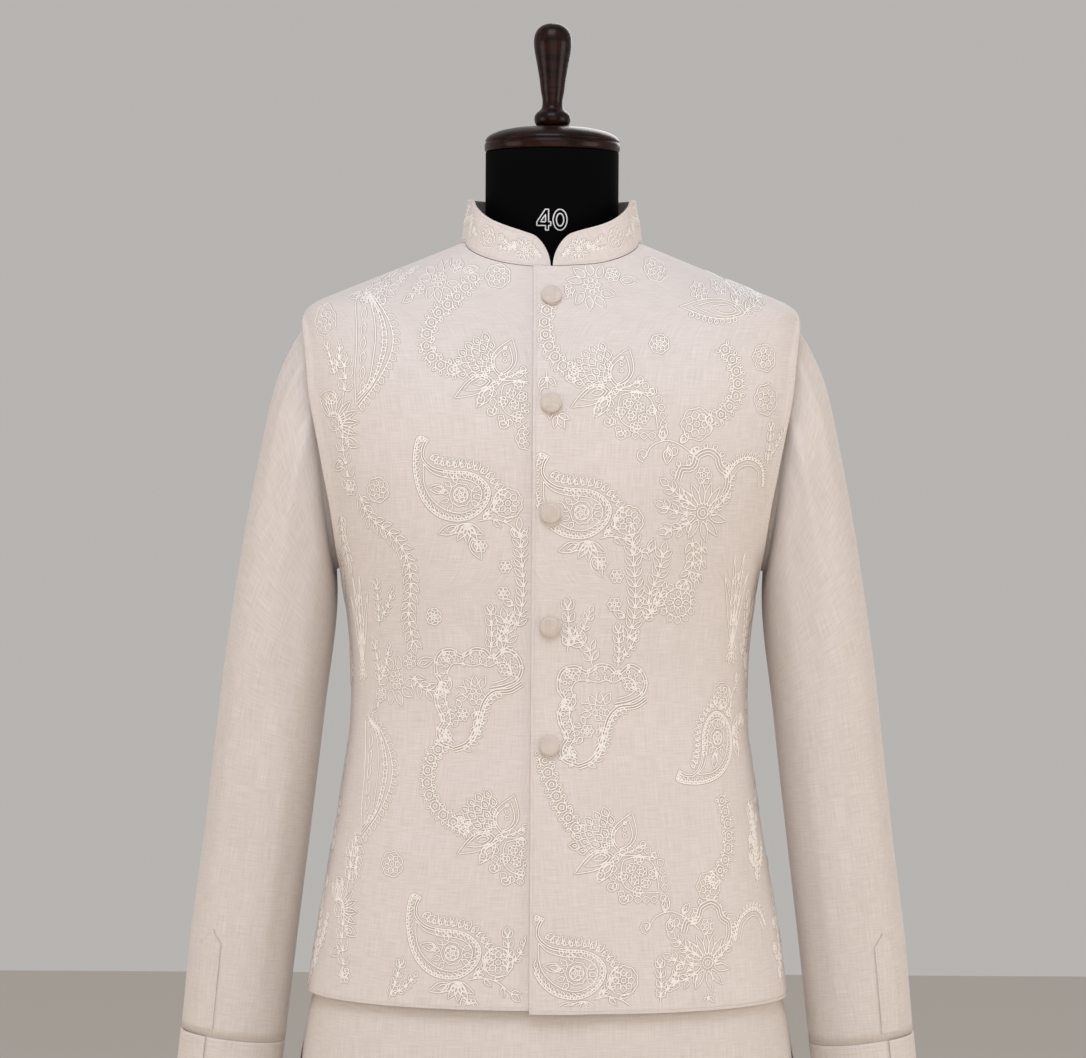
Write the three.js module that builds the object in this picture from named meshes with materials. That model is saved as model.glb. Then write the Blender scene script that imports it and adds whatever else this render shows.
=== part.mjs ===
// A three piece kurta pajama set on a tailor's form: a long-sleeved kurta, a straight pajama
// and an embroidered band-collar jacket with no sleeves. Millimetres, +Z up, the wearer faces -Y.
// Every cloth piece is a thin wall of its own, cut where a tailor cuts it and 0.3 mm from what it
// is sewn to. The form is a smooth padded torso with a turned cap, on a pole and a round base.
import * as THREE from "three";

// Cloth walls, and the room between things
const KURTA_WALL = 1.2;
const PAJAMA_WALL = 1.2;
const JACKET_WALL = 2.4; // shell, interlining and lining together
const BAND_WALL = 2; // cuffs and waistband, cloth folded double
const SEAM = 0.3;
const LAYER = 0.8; // between two layers where the upper one rests on the lower
const WAIST_GRIP = 0.4; // between the waistband and the waist that holds it

// Heights of the set above the floor
const FORM_TOP = 1570;
const SHOULDER_NECK = 1485.5; // where the shoulder seam meets the neckline
const JACKET_FRONT_NECK = 1464.5;
const JACKET_TIP = 1430.5;
const JACKET_ARMPIT = 1190;
const JACKET_HEM = 836;
const LEFT_HEM_DROP = 2.5; // the lapping front hangs a little lower
const KURTA_TIP = 1427.5;
const KURTA_ARMPIT = 1212;
const KURTA_SHOULDER_NECK = 1476.5;
const KURTA_SLIT = 815;
const KURTA_HEM = 455;
const WAIST_TOP = 1098;
const WAIST_FOOT = 1058;
const CROTCH = 770;
const KNEE = 500;
const PAJAMA_HEM = 72;
const FORM_FOOT = 832;
const FORM_EASE = 2.4; // room inside the cloth where the form doesn't carry it
const FORM_COLUMNS = 24; // round the form, and round the waistband and hips that rest on it

// Shoulder slope and neck
const SHOULDER_RISE = 0.408; // of height for each step towards the neck
const NECK_HALF = 58.5;
const NECKLINE_HALF = 73.5;
const KURTA_NECK_HALF = 96;
const RIDGE_AT_NECK = { x: 83, z: 1483.5 };
const TIP_ROUNDING = 14;

// Level sections of the form and of each layer's datum. The cloth lies a fixed distance outside its
// datum, so that layers with like rows, as on the shoulders, rest on each other.
const FORM_ROWS = [
  { z: 832, side: 158, front: 110, back: 112 },
  { z: 870, side: 168, front: 118, back: 121 },
  { z: 915, side: 171, front: 120, back: 124 },
  { z: 960, side: 167, front: 116, back: 118 },
  { z: 1020, side: 157, front: 110, back: 106 },
  { z: 1075, side: 151, front: 107, back: 99 },
  { z: 1130, side: 153, front: 110, back: 100 },
  { z: 1190, side: 161, front: 117, back: 108 },
  { z: 1257, side: 172, front: 124, back: 113 },
  { z: 1300, side: 180, front: 124.5, back: 115 },
  { z: 1354, side: 188, front: 116.5, back: 112.5 },
  { z: 1400, side: 191, front: 102, back: 102 },
  { z: 1440, side: 191, front: 84, back: 86 },
  { z: 1462, side: 191, front: 71, back: 75 },
  { z: 1478, side: 191, front: 62, back: 66 },
  { z: 1492, side: 191, front: NECK_HALF, back: 60 },
  { z: 1512, side: 191, front: NECK_HALF, back: NECK_HALF },
  { z: FORM_TOP, side: 191, front: NECK_HALF, back: NECK_HALF },
];
const NECK_ROWS = FORM_ROWS.filter((row) => row.z >= 1440);
const KURTA_ROWS = [
  { z: 455, side: 232, front: 150, back: 150 },
  { z: 600, side: 226, front: 146, back: 147 },
  { z: 700, side: 220, front: 142, back: 144 },
  { z: 780, side: 213, front: 138, back: 140 },
  { z: 815, side: 208, front: 135, back: 137 },
  { z: 836, side: 203, front: 131.5, back: 134 },
  { z: 890, side: 192, front: 128, back: 131 },
  { z: 960, side: 178.5, front: 124, back: 126 },
  { z: 1030, side: 167, front: 119, back: 115 },
  { z: 1110, side: 161, front: 116, back: 106 },
  { z: 1190, side: 168, front: 121.5, back: 111.5 },
  { z: 1257, side: 181, front: 128, back: 116.5 },
  { z: 1300, side: 192, front: 128, back: 118 },
  { z: 1354, side: 202, front: 119, back: 115 },
  { z: 1400, side: 204, front: 103, back: 103.5 },
  ...NECK_ROWS.map((row) => ({ ...row, side: 202 })),
];
const JACKET_ROWS = [
  { z: 836, side: 205.5, front: 137, back: 139 },
  { z: 890, side: 197.5, front: 134.5, back: 137 },
  { z: 925, side: 191.5, front: 133, back: 134.5 },
  { z: 960, side: 185.5, front: 131, back: 131 },
  { z: 995, side: 179.5, front: 129, back: 126 },
  { z: 1030, side: 174.5, front: 127, back: 120.5 },
  { z: 1065, side: 169.8, front: 125, back: 115 },
  { z: 1110, side: 168.4, front: 124, back: 111.5 },
  { z: 1150, side: 170.5, front: 126, back: 113 },
  { z: 1190, side: 176, front: 129, back: 116 },
  { z: 1257, side: 190, front: 132.5, back: 120.5 },
  { z: 1300, side: 200, front: 131.5, back: 121.5 },
  { z: 1354, side: 211, front: 121.5, back: 118 },
  { z: 1400, side: 213, front: 104.5, back: 106 },
  { z: 1440, side: 211, front: 86, back: 92 },
  { z: 1462, side: 211, front: 76, back: 83 },
  { z: 1478, side: 211, front: 72, back: 77 },
  { z: SHOULDER_NECK, side: 211, front: 71, back: 74 },
];
// How square the level sections are: 2 is an ellipse
const SQUARENESS_ROWS = [
  { z: 455, power: 2.3 },
  { z: 1110, power: 2.3 },
  { z: 1190, power: 2.45 },
  { z: 1257, power: 2.8 },
  { z: 1320, power: 3 },
  { z: 1390, power: 3 },
  { z: 1430, power: 2.65 },
  { z: 1455, power: 2.2 },
  { z: 1470, power: 1.95 },
  { z: 1482, power: 1.8 },
  { z: 1494, power: 1.95 },
  { z: 1510, power: 2 },
  { z: 1571, power: 2 },
];

// Armholes, as ovals seen from the side
const KURTA_ARMHOLE = { top: KURTA_TIP, foot: KURTA_ARMPIT, front: 58, back: 66 };
const JACKET_ARMHOLE = { top: JACKET_TIP, foot: JACKET_ARMPIT, front: 69, back: 78 };

// The sleeve, by its outline from the front and its half depth; along runs from armhole to cuff
const SLEEVE_ROWS = [
  { along: 0.07, innerX: 188.5, innerZ: 1203, outerX: 215, outerZ: 1425.5, front: 60, back: 66 },
  { along: 0.14, innerX: 187.5, innerZ: 1194, outerX: 228, outerZ: 1403, front: 66, back: 68 },
  { along: 0.22, innerX: 187, innerZ: 1182, outerX: 241.5, outerZ: 1367, front: 70, back: 68 },
  { along: 0.31, innerX: 187.5, innerZ: 1165, outerX: 254.5, outerZ: 1309, front: 70, back: 66 },
  { along: 0.42, innerX: 190, innerZ: 1138, outerX: 269, outerZ: 1232, front: 68, back: 60 },
  { along: 0.53, innerX: 196, innerZ: 1092, outerX: 284, outerZ: 1134, front: 65, back: 53 },
  { along: 0.65, innerX: 203, innerZ: 1030, outerX: 294, outerZ: 1050, front: 61, back: 46 },
  { along: 0.78, innerX: 211.5, innerZ: 958, outerX: 303.2, outerZ: 970, front: 57, back: 38 },
  { along: 0.9, innerX: 221.8, innerZ: 872, outerX: 314.5, outerZ: 884, front: 53, back: 29 },
  { along: 1, innerX: 231, innerZ: 789.5, outerX: 322.3, outerZ: 800.5, front: 48, back: 21 },
];
const SLEEVE_POWER = 2.15;
// The body's armhole edge and the sleeve share their corners: steps down one side of the armhole
const ARMHOLE_STEPS = 10;
// Soft folds of a sleeve: place round it in degrees from the outer edge, front first
const SLEEVE_FOLDS = [
  { round: 30, from: 0.02, to: 0.3, wide: 12, deep: -4.4 },
  { round: 60, from: 0.04, to: 0.42, wide: 12, deep: -3.8 },
  { round: 105, from: 0.2, to: 0.62, wide: 14, deep: -3 },
  { round: 330, from: 0.03, to: 0.34, wide: 12, deep: -4 },
  { round: 285, from: 0.08, to: 0.5, wide: 14, deep: -3.4 },
];
const FOLD_IN = 0.08; // share of the sleeve over which a fold starts, and ends
const FOLD_OUT = 0.12;
// Rings of the sleeve: the seam, the turn of its head, then the upper and the lower sleeve
const SLEEVE_HEAD = [0, 0.02];
const SLEEVE_UPPER = { rings: 7, from: 0.07, to: 0.53 };
const SLEEVE_LOWER = { rings: 4, from: 0.65, to: 1 };
const CUFF = {
  top: { innerX: 232, innerZ: 789.1, outerX: 321.4, outerZ: 800.1, front: 47.1, back: 20.1 },
  foot: { innerX: 239, innerZ: 730, outerX: 327.4, outerZ: 741, front: 45.5, back: 17.5 },
  closing: 64, // degrees round from the outer edge
  lap: 24, // degrees by which the buttoned end covers the other
  rise: 32, // degrees over which the buttoned end comes up to cover the other
  level: 8, // degrees before the lap by which it is up
};
const PLACKET = { from: 0.887, to: 0.992, near: 48, far: 71, point: 0.015, thick: 1 };

// Hanging folds of the kurta's skirt: degrees round from centre front
const SKIRT_FOLDS = [
  { round: 14, wide: 8, deep: -5, top: 790 },
  { round: 33, wide: 9, deep: 6, top: 830 },
  { round: 52, wide: 8, deep: -6, top: 760 },
  { round: 70, wide: 7, deep: 5, top: 800 },
  { round: 112, wide: 8, deep: 5, top: 790 },
  { round: 131, wide: 9, deep: -6, top: 770 },
  { round: 152, wide: 9, deep: 5, top: 820 },
];
const SKIRT_FOLD_FALL = 330; // height over which a fold grows to its full depth
// How the side slits stand open: each edge from the side, and the back edge's lift outwards
const SLIT_SPREAD = { front: 9, back: 5, flare: 3.5, wide: 9, fall: 60 };

// Jacket front
const FRONT_LAP = 15.3; // past the centre line, each side
const LAP_EDGE = FRONT_LAP + 1; // where the upper front starts to come down beside the lap
const LAP_EASE = 28; // width over which it comes down
const LAP_LIFT = JACKET_WALL + 2 * SEAM; // of the upper front over the lower one
const BUTTON_HEIGHTS = [1440.8, 1348.4, 1255.7, 1160, 1059.2];
const BUTTON_RADIUS = 8.8;
const BUTTON_DOME = 4.2;
const CUFF_BUTTON_RADIUS = 5.5;
const CUFF_BUTTON_DOME = 2;
const BUTTON_SEAT = 0.5; // thread shank between a button and its cloth
const COLLAR = {
  lean: 6, // how far the top is inside the seam
  corner: 18, // length of the rounded front corner
  cornerStart: 0.004, // share of the corner's length at the band's very end
  gap: 1, // from the centre line to the band's end
  foot: 0.6, // above the seam, clear of the turned shoulder edge
  wall: 2.2,
};

// Height of the collar's band, by the length along its seam from the front
const COLLAR_ROWS = [
  { along: 0, height: 22 },
  { along: 18, height: 27.5 },
  { along: 36, height: 31 },
  { along: 60, height: 33.5 },
  { along: 110, height: 37 },
  { along: 220, height: 41 },
];

// Pajama leg below the crotch
const LEG_ROWS = [
  { z: CROTCH, centre: 94, half: 92.5, front: 112, back: 118 },
  { z: 690, centre: 94, half: 90, front: 104, back: 108 },
  { z: 500, centre: 94, half: 80, front: 86, back: 88 },
  { z: 280, centre: 93, half: 70, front: 75, back: 75 },
  { z: PAJAMA_HEM, centre: 92, half: 63, front: 67, back: 67 },
];
const PAJAMA_ROWS = [
  { z: CROTCH, side: 184, front: 122, back: 126 },
  { z: 870, side: 175, front: 121.5, back: 125 },
  { z: 915, side: 174.5, front: 122, back: 127 },
  { z: 960, side: 171, front: 118.5, back: 121.5 },
  { z: 1020, side: 160, front: 112.5, back: 109 },
  { z: 1075, side: 151, front: 107, back: 99 },
  { z: 1100, side: 151.5, front: 108, back: 99 },
];
const LEG_FOLDS = [
  { round: 70, wide: 16, deep: -4, top: 560 },
  { round: 150, wide: 18, deep: 3.5, top: 640 },
  { round: 245, wide: 17, deep: -4, top: 520 },
  { round: 310, wide: 15, deep: 3, top: 600 },
];

const LEG_FOLD_FALL = 200; // height over which a fold grows to its full depth
const LEG_EASE = 170; // height below the crotch over which the leg takes its own section

// Where the form meets the cloth: along the shoulder ridges, round the waist and up the neck
const FORM_TOUCH = {
  ridgeWide: 6,
  ridgeFoot: 1390,
  ridgeRise: 30,
  waistPast: 30,
  waistRise: 25,
  neckRise: 12,
};
// Rings of the form, from its foot to its neck
const FORM_CHEST = 1257;
const FORM_SHOULDERS = [1300, 1345, 1380, 1405];
const FORM_SHOULDER_TOP = 1468;
const FORM_NECK = [1495, 1505, 1520];

// Stand
const BASE_RADIUS = 200;
const BASE_TOP = 18;
const POLE_RADIUS = 15;
const POLE_X = 92; // inside one trouser leg
const FLANGE_RADIUS = 42;
const FLANGE_THICK = 8;

const DEGREE = Math.PI / 180;
const clamp = THREE.MathUtils.clamp;
const lerp = THREE.MathUtils.lerp;
const smooth = (t) => THREE.MathUtils.smoothstep(t, 0, 1);

// A smooth curve through one column of a table, against another
function curve(rows, at, column) {
  const x = rows.map((row) => row[at]);
  const y = rows.map((row) => row[column]);
  const last = x.length - 1;
  const slope = x.map((_, i) => {
    const a = Math.max(i - 1, 0);
    const b = Math.min(i + 1, last);
    return (y[b] - y[a]) / (x[b] - x[a]);
  });
  return (value) => {
    const v = clamp(value, x[0], x[last]);
    let i = 0;
    while (i < last - 1 && v > x[i + 1]) i += 1;
    const step = x[i + 1] - x[i];
    const t = (v - x[i]) / step;
    const rest = 1 - t;
    return (
      y[i] * rest * rest * (1 + 2 * t) +
      slope[i] * step * t * rest * rest +
      y[i + 1] * t * t * (3 - 2 * t) -
      slope[i + 1] * step * t * t * rest
    );
  };
}

// The smaller of two values, rounded over where they meet
function roundedMin(a, b, rounding) {
  const near = Math.max(rounding - Math.abs(a - b), 0) / rounding;
  return Math.min(a, b) - (near * near * rounding) / 4;
}
const roundedMax = (a, b, rounding) => -roundedMin(-a, -b, rounding);

const power = curve(SQUARENESS_ROWS, "z", "power");

// A layer's datum surface: turn is in degrees from centre front, positive to +X
function datum(rows) {
  const sorted = [...rows].sort((a, b) => a.z - b.z);
  const side = curve(sorted, "z", "side");
  const front = curve(sorted, "z", "front");
  const back = curve(sorted, "z", "back");
  const ridge = (z) => RIDGE_AT_NECK.x + (RIDGE_AT_NECK.z - z) / SHOULDER_RISE;
  const half = (z) =>
    roundedMax(roundedMin(side(z), ridge(z), TIP_ROUNDING), NECK_HALF, TIP_ROUNDING);
  const depth = (z, behind) => (behind ? back(z) : front(z));
  // Where a level section meets a given depth or width
  const turnAtDepth = (y, z) => {
    const behind = y > 0;
    const away = Math.min(Math.abs(y) / depth(z, behind), 1);
    const across = Math.pow(1 - Math.pow(away, power(z)), 1 / power(z));
    const turn = Math.atan2(across, away) / DEGREE;
    return behind ? 180 - turn : turn;
  };
  const turnAtWidth = (x, z) => {
    const across = Math.min(Math.abs(x) / half(z), 1);
    const away = Math.pow(1 - Math.pow(across, power(z)), 1 / power(z));
    return (Math.sign(x) * Math.atan2(across, away)) / DEGREE;
  };
  const skin = (turn, z, outward) => {
    const s = Math.sin(turn * DEGREE);
    const c = Math.cos(turn * DEGREE);
    const n = power(z);
    const behind = c < 0;
    const reach = Math.pow(Math.pow(Math.abs(s), n) + Math.pow(Math.abs(c), n), -1 / n);
    const a = half(z);
    const b = depth(z, behind);
    const across = s * reach;
    const away = c * reach;
    const step = 0.5;
    const aSlope = (half(z + step) - half(z - step)) / (2 * step);
    const bSlope = (depth(z + step, behind) - depth(z - step, behind)) / (2 * step);
    const normal = new THREE.Vector3(
      (Math.sign(across) * Math.pow(Math.abs(across), n - 1)) / a,
      (-Math.sign(away) * Math.pow(Math.abs(away), n - 1)) / b,
      -(Math.pow(Math.abs(across), n) * aSlope) / a - (Math.pow(Math.abs(away), n) * bSlope) / b,
    ).normalize();
    return new THREE.Vector3(a * across, -b * away, z).addScaledVector(normal, outward);
  };
  return { skin, turnAtDepth, turnAtWidth };
}

const formDatum = datum(FORM_ROWS);
const kurtaDatum = datum(KURTA_ROWS);
const jacketDatum = datum(JACKET_ROWS);
const KURTA_OUT = LAYER + KURTA_WALL;
const JACKET_IN = KURTA_OUT + LAYER;
const JACKET_OUT = JACKET_IN + JACKET_WALL;

// Turns the faces round if they enclose their volume from the wrong side
function facingOut(positions, faces) {
  let volume = 0;
  for (const [a, b, c] of faces) {
    volume += positions[a].dot(positions[b].clone().cross(positions[c]));
  }
  const index = faces.flatMap(([a, b, c]) => (volume < 0 ? [a, c, b] : [a, b, c]));
  const geometry = new THREE.BufferGeometry().setFromPoints(positions);
  geometry.setIndex(index);
  geometry.computeVertexNormals();
  return geometry;
}

// A closed cloth wall from patches of rows of points, each point a pair, outer and inner. Points
// that rows or patches share are one, and each free edge is closed from the outer to the inner.
function wall(...patches) {
  const known = new Map();
  const pairs = [];
  const number = (pair) => {
    const key = pair.outer.toArray().map((value) => Math.round(value * 500)).join();
    if (!known.has(key)) {
      known.set(key, pairs.length);
      pairs.push(pair);
    }
    return known.get(key);
  };
  const skin = [];
  for (const rows of patches) {
    for (let i = 1; i < rows.length; i += 1) {
      for (let j = 1; j < rows[i].length; j += 1) {
        const corners = [rows[i - 1][j - 1], rows[i - 1][j], rows[i][j], rows[i][j - 1]];
        const [a, b, c, d] = corners.map(number);
        for (const face of [[a, b, c], [a, c, d]]) {
          if (new Set(face).size === 3) skin.push(face);
        }
      }
    }
  }
  const inside = pairs.length;
  const faces = [];
  const edges = new Set(skin.flatMap(([a, b, c]) => [`${a},${b}`, `${b},${c}`, `${c},${a}`]));
  for (const [a, b, c] of skin) {
    faces.push([a, b, c], [a + inside, c + inside, b + inside]);
    for (const [from, to] of [[a, b], [b, c], [c, a]]) {
      if (!edges.has(`${to},${from}`)) {
        faces.push([to, from, from + inside], [to, from + inside, to + inside]);
      }
    }
  }
  return facingOut([...pairs.map((p) => p.outer), ...pairs.map((p) => p.inner)], faces);
}

function mirrored(geometry) {
  const positions = [];
  const source = geometry.getAttribute("position");
  for (let i = 0; i < source.count; i += 1) {
    positions.push(new THREE.Vector3(-source.getX(i), source.getY(i), source.getZ(i)));
  }
  const index = [...geometry.getIndex().array];
  const faces = [];
  for (let i = 0; i < index.length; i += 3) faces.push(index.slice(i, i + 3));
  return facingOut(positions, faces);
}

const spread = (count, from, to) =>
  Array.from({ length: count + 1 }, (_, i) => lerp(from, to, i / count));
// Values that crowd towards both ends, as points evenly round an oval do
const crowded = (count, from, to) =>
  spread(count, 0, Math.PI).map((turn) => lerp(from, to, (1 - Math.cos(turn)) / 2));
// Values that crowd towards the start
const easing = (count, from, to) => spread(count, 0, 1).map((t) => lerp(from, to, t * t));
const chain = (...lists) => lists.flatMap((list, i) => (i ? list.slice(1) : list));
const sideOf = (behind) => (behind ? 1 : -1);

// A tube wall round a centre line; place gives the outer face
function tube(place, centre, rowValues, columnValues, thick) {
  const step = 1e-3;
  return rowValues.map((v) =>
    columnValues.map((u) => {
      const outer = place(u, v);
      const across = place(u + step * 100, v).sub(place(u - step * 100, v));
      const down = place(u, v + step).sub(place(u, v - step));
      const inward = across.cross(down).normalize();
      if (inward.dot(outer.clone().sub(centre(v))) > 0) inward.negate();
      return { outer, inner: outer.clone().addScaledVector(inward, thick) };
    }),
  );
}

// A body panel's rows, from its heights, the turns of its columns and its outer face's distance
// from the datum
function panel(layer, heights, turnsAt, outAt, thick) {
  return heights.map((z) =>
    turnsAt(z).map((turn) => {
      const out = outAt(turn, z);
      return { outer: layer.skin(turn, z, out), inner: layer.skin(turn, z, out - thick) };
    }),
  );
}

// The outer edge of a body panel at a height: side seam, armhole, then shoulder seam
function sideTurn(layer, armhole, z, behind) {
  const half = (armhole.top - armhole.foot) / 2;
  const share = clamp((z - armhole.foot - half) / half, -1, 1);
  const depth = (behind ? armhole.back : armhole.front) * Math.sqrt(1 - share * share);
  return layer.turnAtDepth(sideOf(behind) * Math.max(depth, SEAM / 2), z);
}

// The edge of a front neckline at a height, from its lowest point up to the shoulder seam
function neckTurn(layer, z, lowest, highest, half) {
  const drop = clamp((highest - z) / (highest - lowest), 0, 1);
  return layer.turnAtWidth(half * Math.sqrt(1 - drop * drop), z);
}

// Jacket: two fronts, the wearer's left at +X lapping over the right, and a back
const NECKLINE_STEPS = 5;
const BACK_COLUMNS = 12;

function jacketHeights(hem, neckRows) {
  return chain(
    spread(6, hem, JACKET_ARMPIT),
    crowded(9, JACKET_ARMPIT, JACKET_TIP),
    spread(3, JACKET_TIP, JACKET_FRONT_NECK),
    easing(neckRows, JACKET_FRONT_NECK, SHOULDER_NECK),
  );
}

function jacketFront(hem, outAt) {
  const lapColumns = [-FRONT_LAP, 0, LAP_EDGE];
  const turnsAt = (z) => {
    const neck =
      z > JACKET_FRONT_NECK
        ? neckTurn(jacketDatum, z, JACKET_FRONT_NECK, SHOULDER_NECK, NECKLINE_HALF)
        : -180;
    const lap = lapColumns.map((x) => Math.max(jacketDatum.turnAtWidth(x, z), neck));
    return chain(lap, spread(8, lap.at(-1), sideTurn(jacketDatum, JACKET_ARMHOLE, z, false)));
  };
  return wall(panel(jacketDatum, jacketHeights(hem, NECKLINE_STEPS), turnsAt, outAt, JACKET_WALL));
}

function upperFrontOut(turn, z) {
  const x = jacketDatum.skin(turn, z, 0).x;
  return JACKET_OUT + LAP_LIFT * (1 - smooth((x - LAP_EDGE) / LAP_EASE));
}

function jacketBackTurns(z) {
  const edge = sideTurn(jacketDatum, JACKET_ARMHOLE, z, true);
  return spread(BACK_COLUMNS, edge, 360 - edge);
}

function jacketBack() {
  const heights = jacketHeights(JACKET_HEM, 2);
  return wall(panel(jacketDatum, heights, jacketBackTurns, () => JACKET_OUT, JACKET_WALL));
}

// The jacket's neck seam from centre front to centre back, through the panels' own corners, with
// the length along it
function neckSeam(outAt) {
  const front = easing(NECKLINE_STEPS, JACKET_FRONT_NECK, SHOULDER_NECK).map((z) => ({
    turn: neckTurn(jacketDatum, z, JACKET_FRONT_NECK, SHOULDER_NECK, NECKLINE_HALF),
    z,
  }));
  const back = jacketBackTurns(SHOULDER_NECK)
    .slice(0, BACK_COLUMNS / 2 + 1)
    .map((turn) => ({ turn, z: SHOULDER_NECK }));
  let length = 0;
  let before = null;
  return [...front, ...back].map(({ turn, z }) => {
    const point = jacketDatum.skin(turn, z, outAt(turn, z));
    if (before) length += point.distanceTo(before);
    before = point;
    return { point, length };
  });
}

const collarHeight = curve(COLLAR_ROWS, "along", "height");

// The band collar stands on the neck seam and leans in to the neck, its front corners rounded
function collarHalf(sign, outAt) {
  const seam = neckSeam(outAt);
  const total = seam.at(-1).length;
  const along = (length) => {
    const at = clamp(length, 0, total);
    const next = Math.max(seam.findIndex((place) => place.length >= at - 1e-6), 1);
    const [a, b] = [seam[next - 1], seam[next]];
    return a.point.clone().lerp(b.point, (at - a.length) / (b.length - a.length));
  };
  const column = (length) => {
    const foot = along(length);
    const run = along(length + 2).sub(along(length - 2));
    const outward = new THREE.Vector3(run.y, -run.x, 0).normalize();
    if (outward.dot(new THREE.Vector3(foot.x, foot.y, 0)) < 0) outward.negate();
    const height = collarHeight(length);
    const start = (length - COLLAR.gap) / (COLLAR.corner - COLLAR.gap);
    const corner = Math.sqrt(1 - Math.pow(1 - clamp(start, COLLAR.cornerStart, 1), 2));
    return spread(2, 0, 1).map((up) => {
      const rise = COLLAR.foot + height * corner * up;
      const outer = foot.clone().addScaledVector(outward, (-COLLAR.lean * rise) / height);
      outer.z += rise;
      const inner = outer.clone().addScaledVector(outward, -COLLAR.wall);
      outer.x *= sign;
      inner.x *= sign;
      return { outer, inner };
    });
  };
  const corners = easing(5, COLLAR.gap, COLLAR.corner);
  const rest = seam.map((place) => place.length).filter((length) => length > COLLAR.corner + 1);
  return [...corners, ...rest].map(column);
}

function collar() {
  const left = collarHalf(1, upperFrontOut);
  const right = collarHalf(-1, () => JACKET_OUT);
  return wall([...left, ...right.reverse().slice(1)]);
}

// A covered button, a domed disc with a short shank under it, lying on its back
function button(radius, dome) {
  const rim = dome * 0.45;
  const profile = [
    [0, 0],
    [radius * 0.55, 0],
    [radius * 0.94, rim * 0.5],
    [radius, rim],
    [radius * 0.8, rim + dome * 0.6],
    [radius * 0.4, rim + dome * 0.94],
    [0, rim + dome],
  ].map(([r, h]) => new THREE.Vector2(r, h));
  return new THREE.LatheGeometry(profile, 12).rotateX(Math.PI / 2);
}

// Kurta: front and back, plain round neck, side seams open below the slits
function kurtaHeights() {
  return chain(
    spread(5, KURTA_HEM, KURTA_SLIT),
    spread(3, KURTA_SLIT, KURTA_ARMPIT),
    crowded(ARMHOLE_STEPS, KURTA_ARMPIT, KURTA_TIP),
  );
}

function skirtFold(turn, z) {
  const round = Math.abs(turn > 180 ? 360 - turn : turn);
  return SKIRT_FOLDS.reduce((sum, fold) => {
    const away = (round - fold.round) / fold.wide;
    return sum + fold.deep * smooth((fold.top - z) / SKIRT_FOLD_FALL) * Math.exp(-away * away);
  }, 0);
}

function kurtaSide(z, behind) {
  if (z >= KURTA_SLIT) return sideTurn(kurtaDatum, KURTA_ARMHOLE, z, behind);
  const open = smooth((1.6 * (KURTA_SLIT - z)) / (KURTA_SLIT - KURTA_HEM));
  const apart = SEAM / 2 + open * (behind ? SLIT_SPREAD.back : SLIT_SPREAD.front);
  return kurtaDatum.turnAtDepth(sideOf(behind) * apart, z);
}

function kurtaOut(turn, z) {
  const behind = turn > 90 && turn < 270;
  const round = turn > 180 ? 360 - turn : Math.abs(turn);
  const { flare, wide, fall } = SLIT_SPREAD;
  const nearSlit = Math.exp(-Math.pow((round - 90) / wide, 2)) * smooth((KURTA_SLIT - z) / fall);
  return KURTA_OUT + skirtFold(turn, z) + (behind ? nearSlit * flare : 0);
}

function kurtaFront() {
  const straps = spread(4, KURTA_TIP, KURTA_SHOULDER_NECK);
  const body = panel(
    kurtaDatum,
    kurtaHeights(),
    (z) => spread(20, -kurtaSide(z, false), kurtaSide(z, false)),
    kurtaOut,
    KURTA_WALL,
  );
  const strap = (sign) => (z) => {
    const neck = neckTurn(kurtaDatum, z, KURTA_TIP, KURTA_SHOULDER_NECK, KURTA_NECK_HALF);
    const edges = [sign * neck, sign * kurtaSide(z, false)];
    return sign > 0 ? spread(10, ...edges) : spread(10, edges[1], edges[0]);
  };
  const strapRows = (sign) => panel(kurtaDatum, straps, strap(sign), kurtaOut, KURTA_WALL);
  return wall(body, strapRows(1), strapRows(-1));
}

function kurtaBack() {
  const heights = chain(kurtaHeights(), spread(3, KURTA_TIP, KURTA_SHOULDER_NECK));
  const turnsAt = (z) => spread(20, kurtaSide(z, true), 360 - kurtaSide(z, true));
  return wall(panel(kurtaDatum, heights, turnsAt, kurtaOut, KURTA_WALL));
}

// A section of a sleeve or cuff: round is in degrees from the outer edge, front first
function sleeveSection(row, round) {
  const s = Math.sin(round * DEGREE);
  const c = Math.cos(round * DEGREE);
  const power = SLEEVE_POWER;
  const reach = Math.pow(Math.pow(Math.abs(s), power) + Math.pow(Math.abs(c), power), -1 / power);
  const share = (1 + c * reach) / 2;
  const depth = s > 0 ? row.front : row.back;
  return new THREE.Vector3(
    lerp(row.innerX, row.outerX, share),
    -depth * s * reach,
    lerp(row.innerZ, row.outerZ, share),
  );
}

const sleeveColumns = ["innerX", "innerZ", "outerX", "outerZ", "front", "back"];
const sleeveCurves = sleeveColumns.map((name) => curve(SLEEVE_ROWS, "along", name));
const sleeveRow = (along) =>
  Object.fromEntries(sleeveColumns.map((name, i) => [name, sleeveCurves[i](along)]));
const rowCentre = (row) =>
  new THREE.Vector3((row.innerX + row.outerX) / 2, 0, (row.innerZ + row.outerZ) / 2);

// The head of the sleeve starts in the kurta's armhole, a seam's gap inside its edge
function armholePlace(round) {
  const half = (KURTA_ARMHOLE.top - KURTA_ARMHOLE.foot) / 2;
  const z = KURTA_ARMHOLE.foot + half + (half - SEAM) * Math.cos(round * DEGREE);
  const s = Math.sin(round * DEGREE);
  const depth = (s > 0 ? KURTA_ARMHOLE.front : KURTA_ARMHOLE.back) - SEAM;
  const turn = kurtaDatum.turnAtDepth(-depth * s || SEAM / 2, z);
  return kurtaDatum.skin(turn, z, KURTA_OUT - KURTA_WALL / 2);
}

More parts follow.
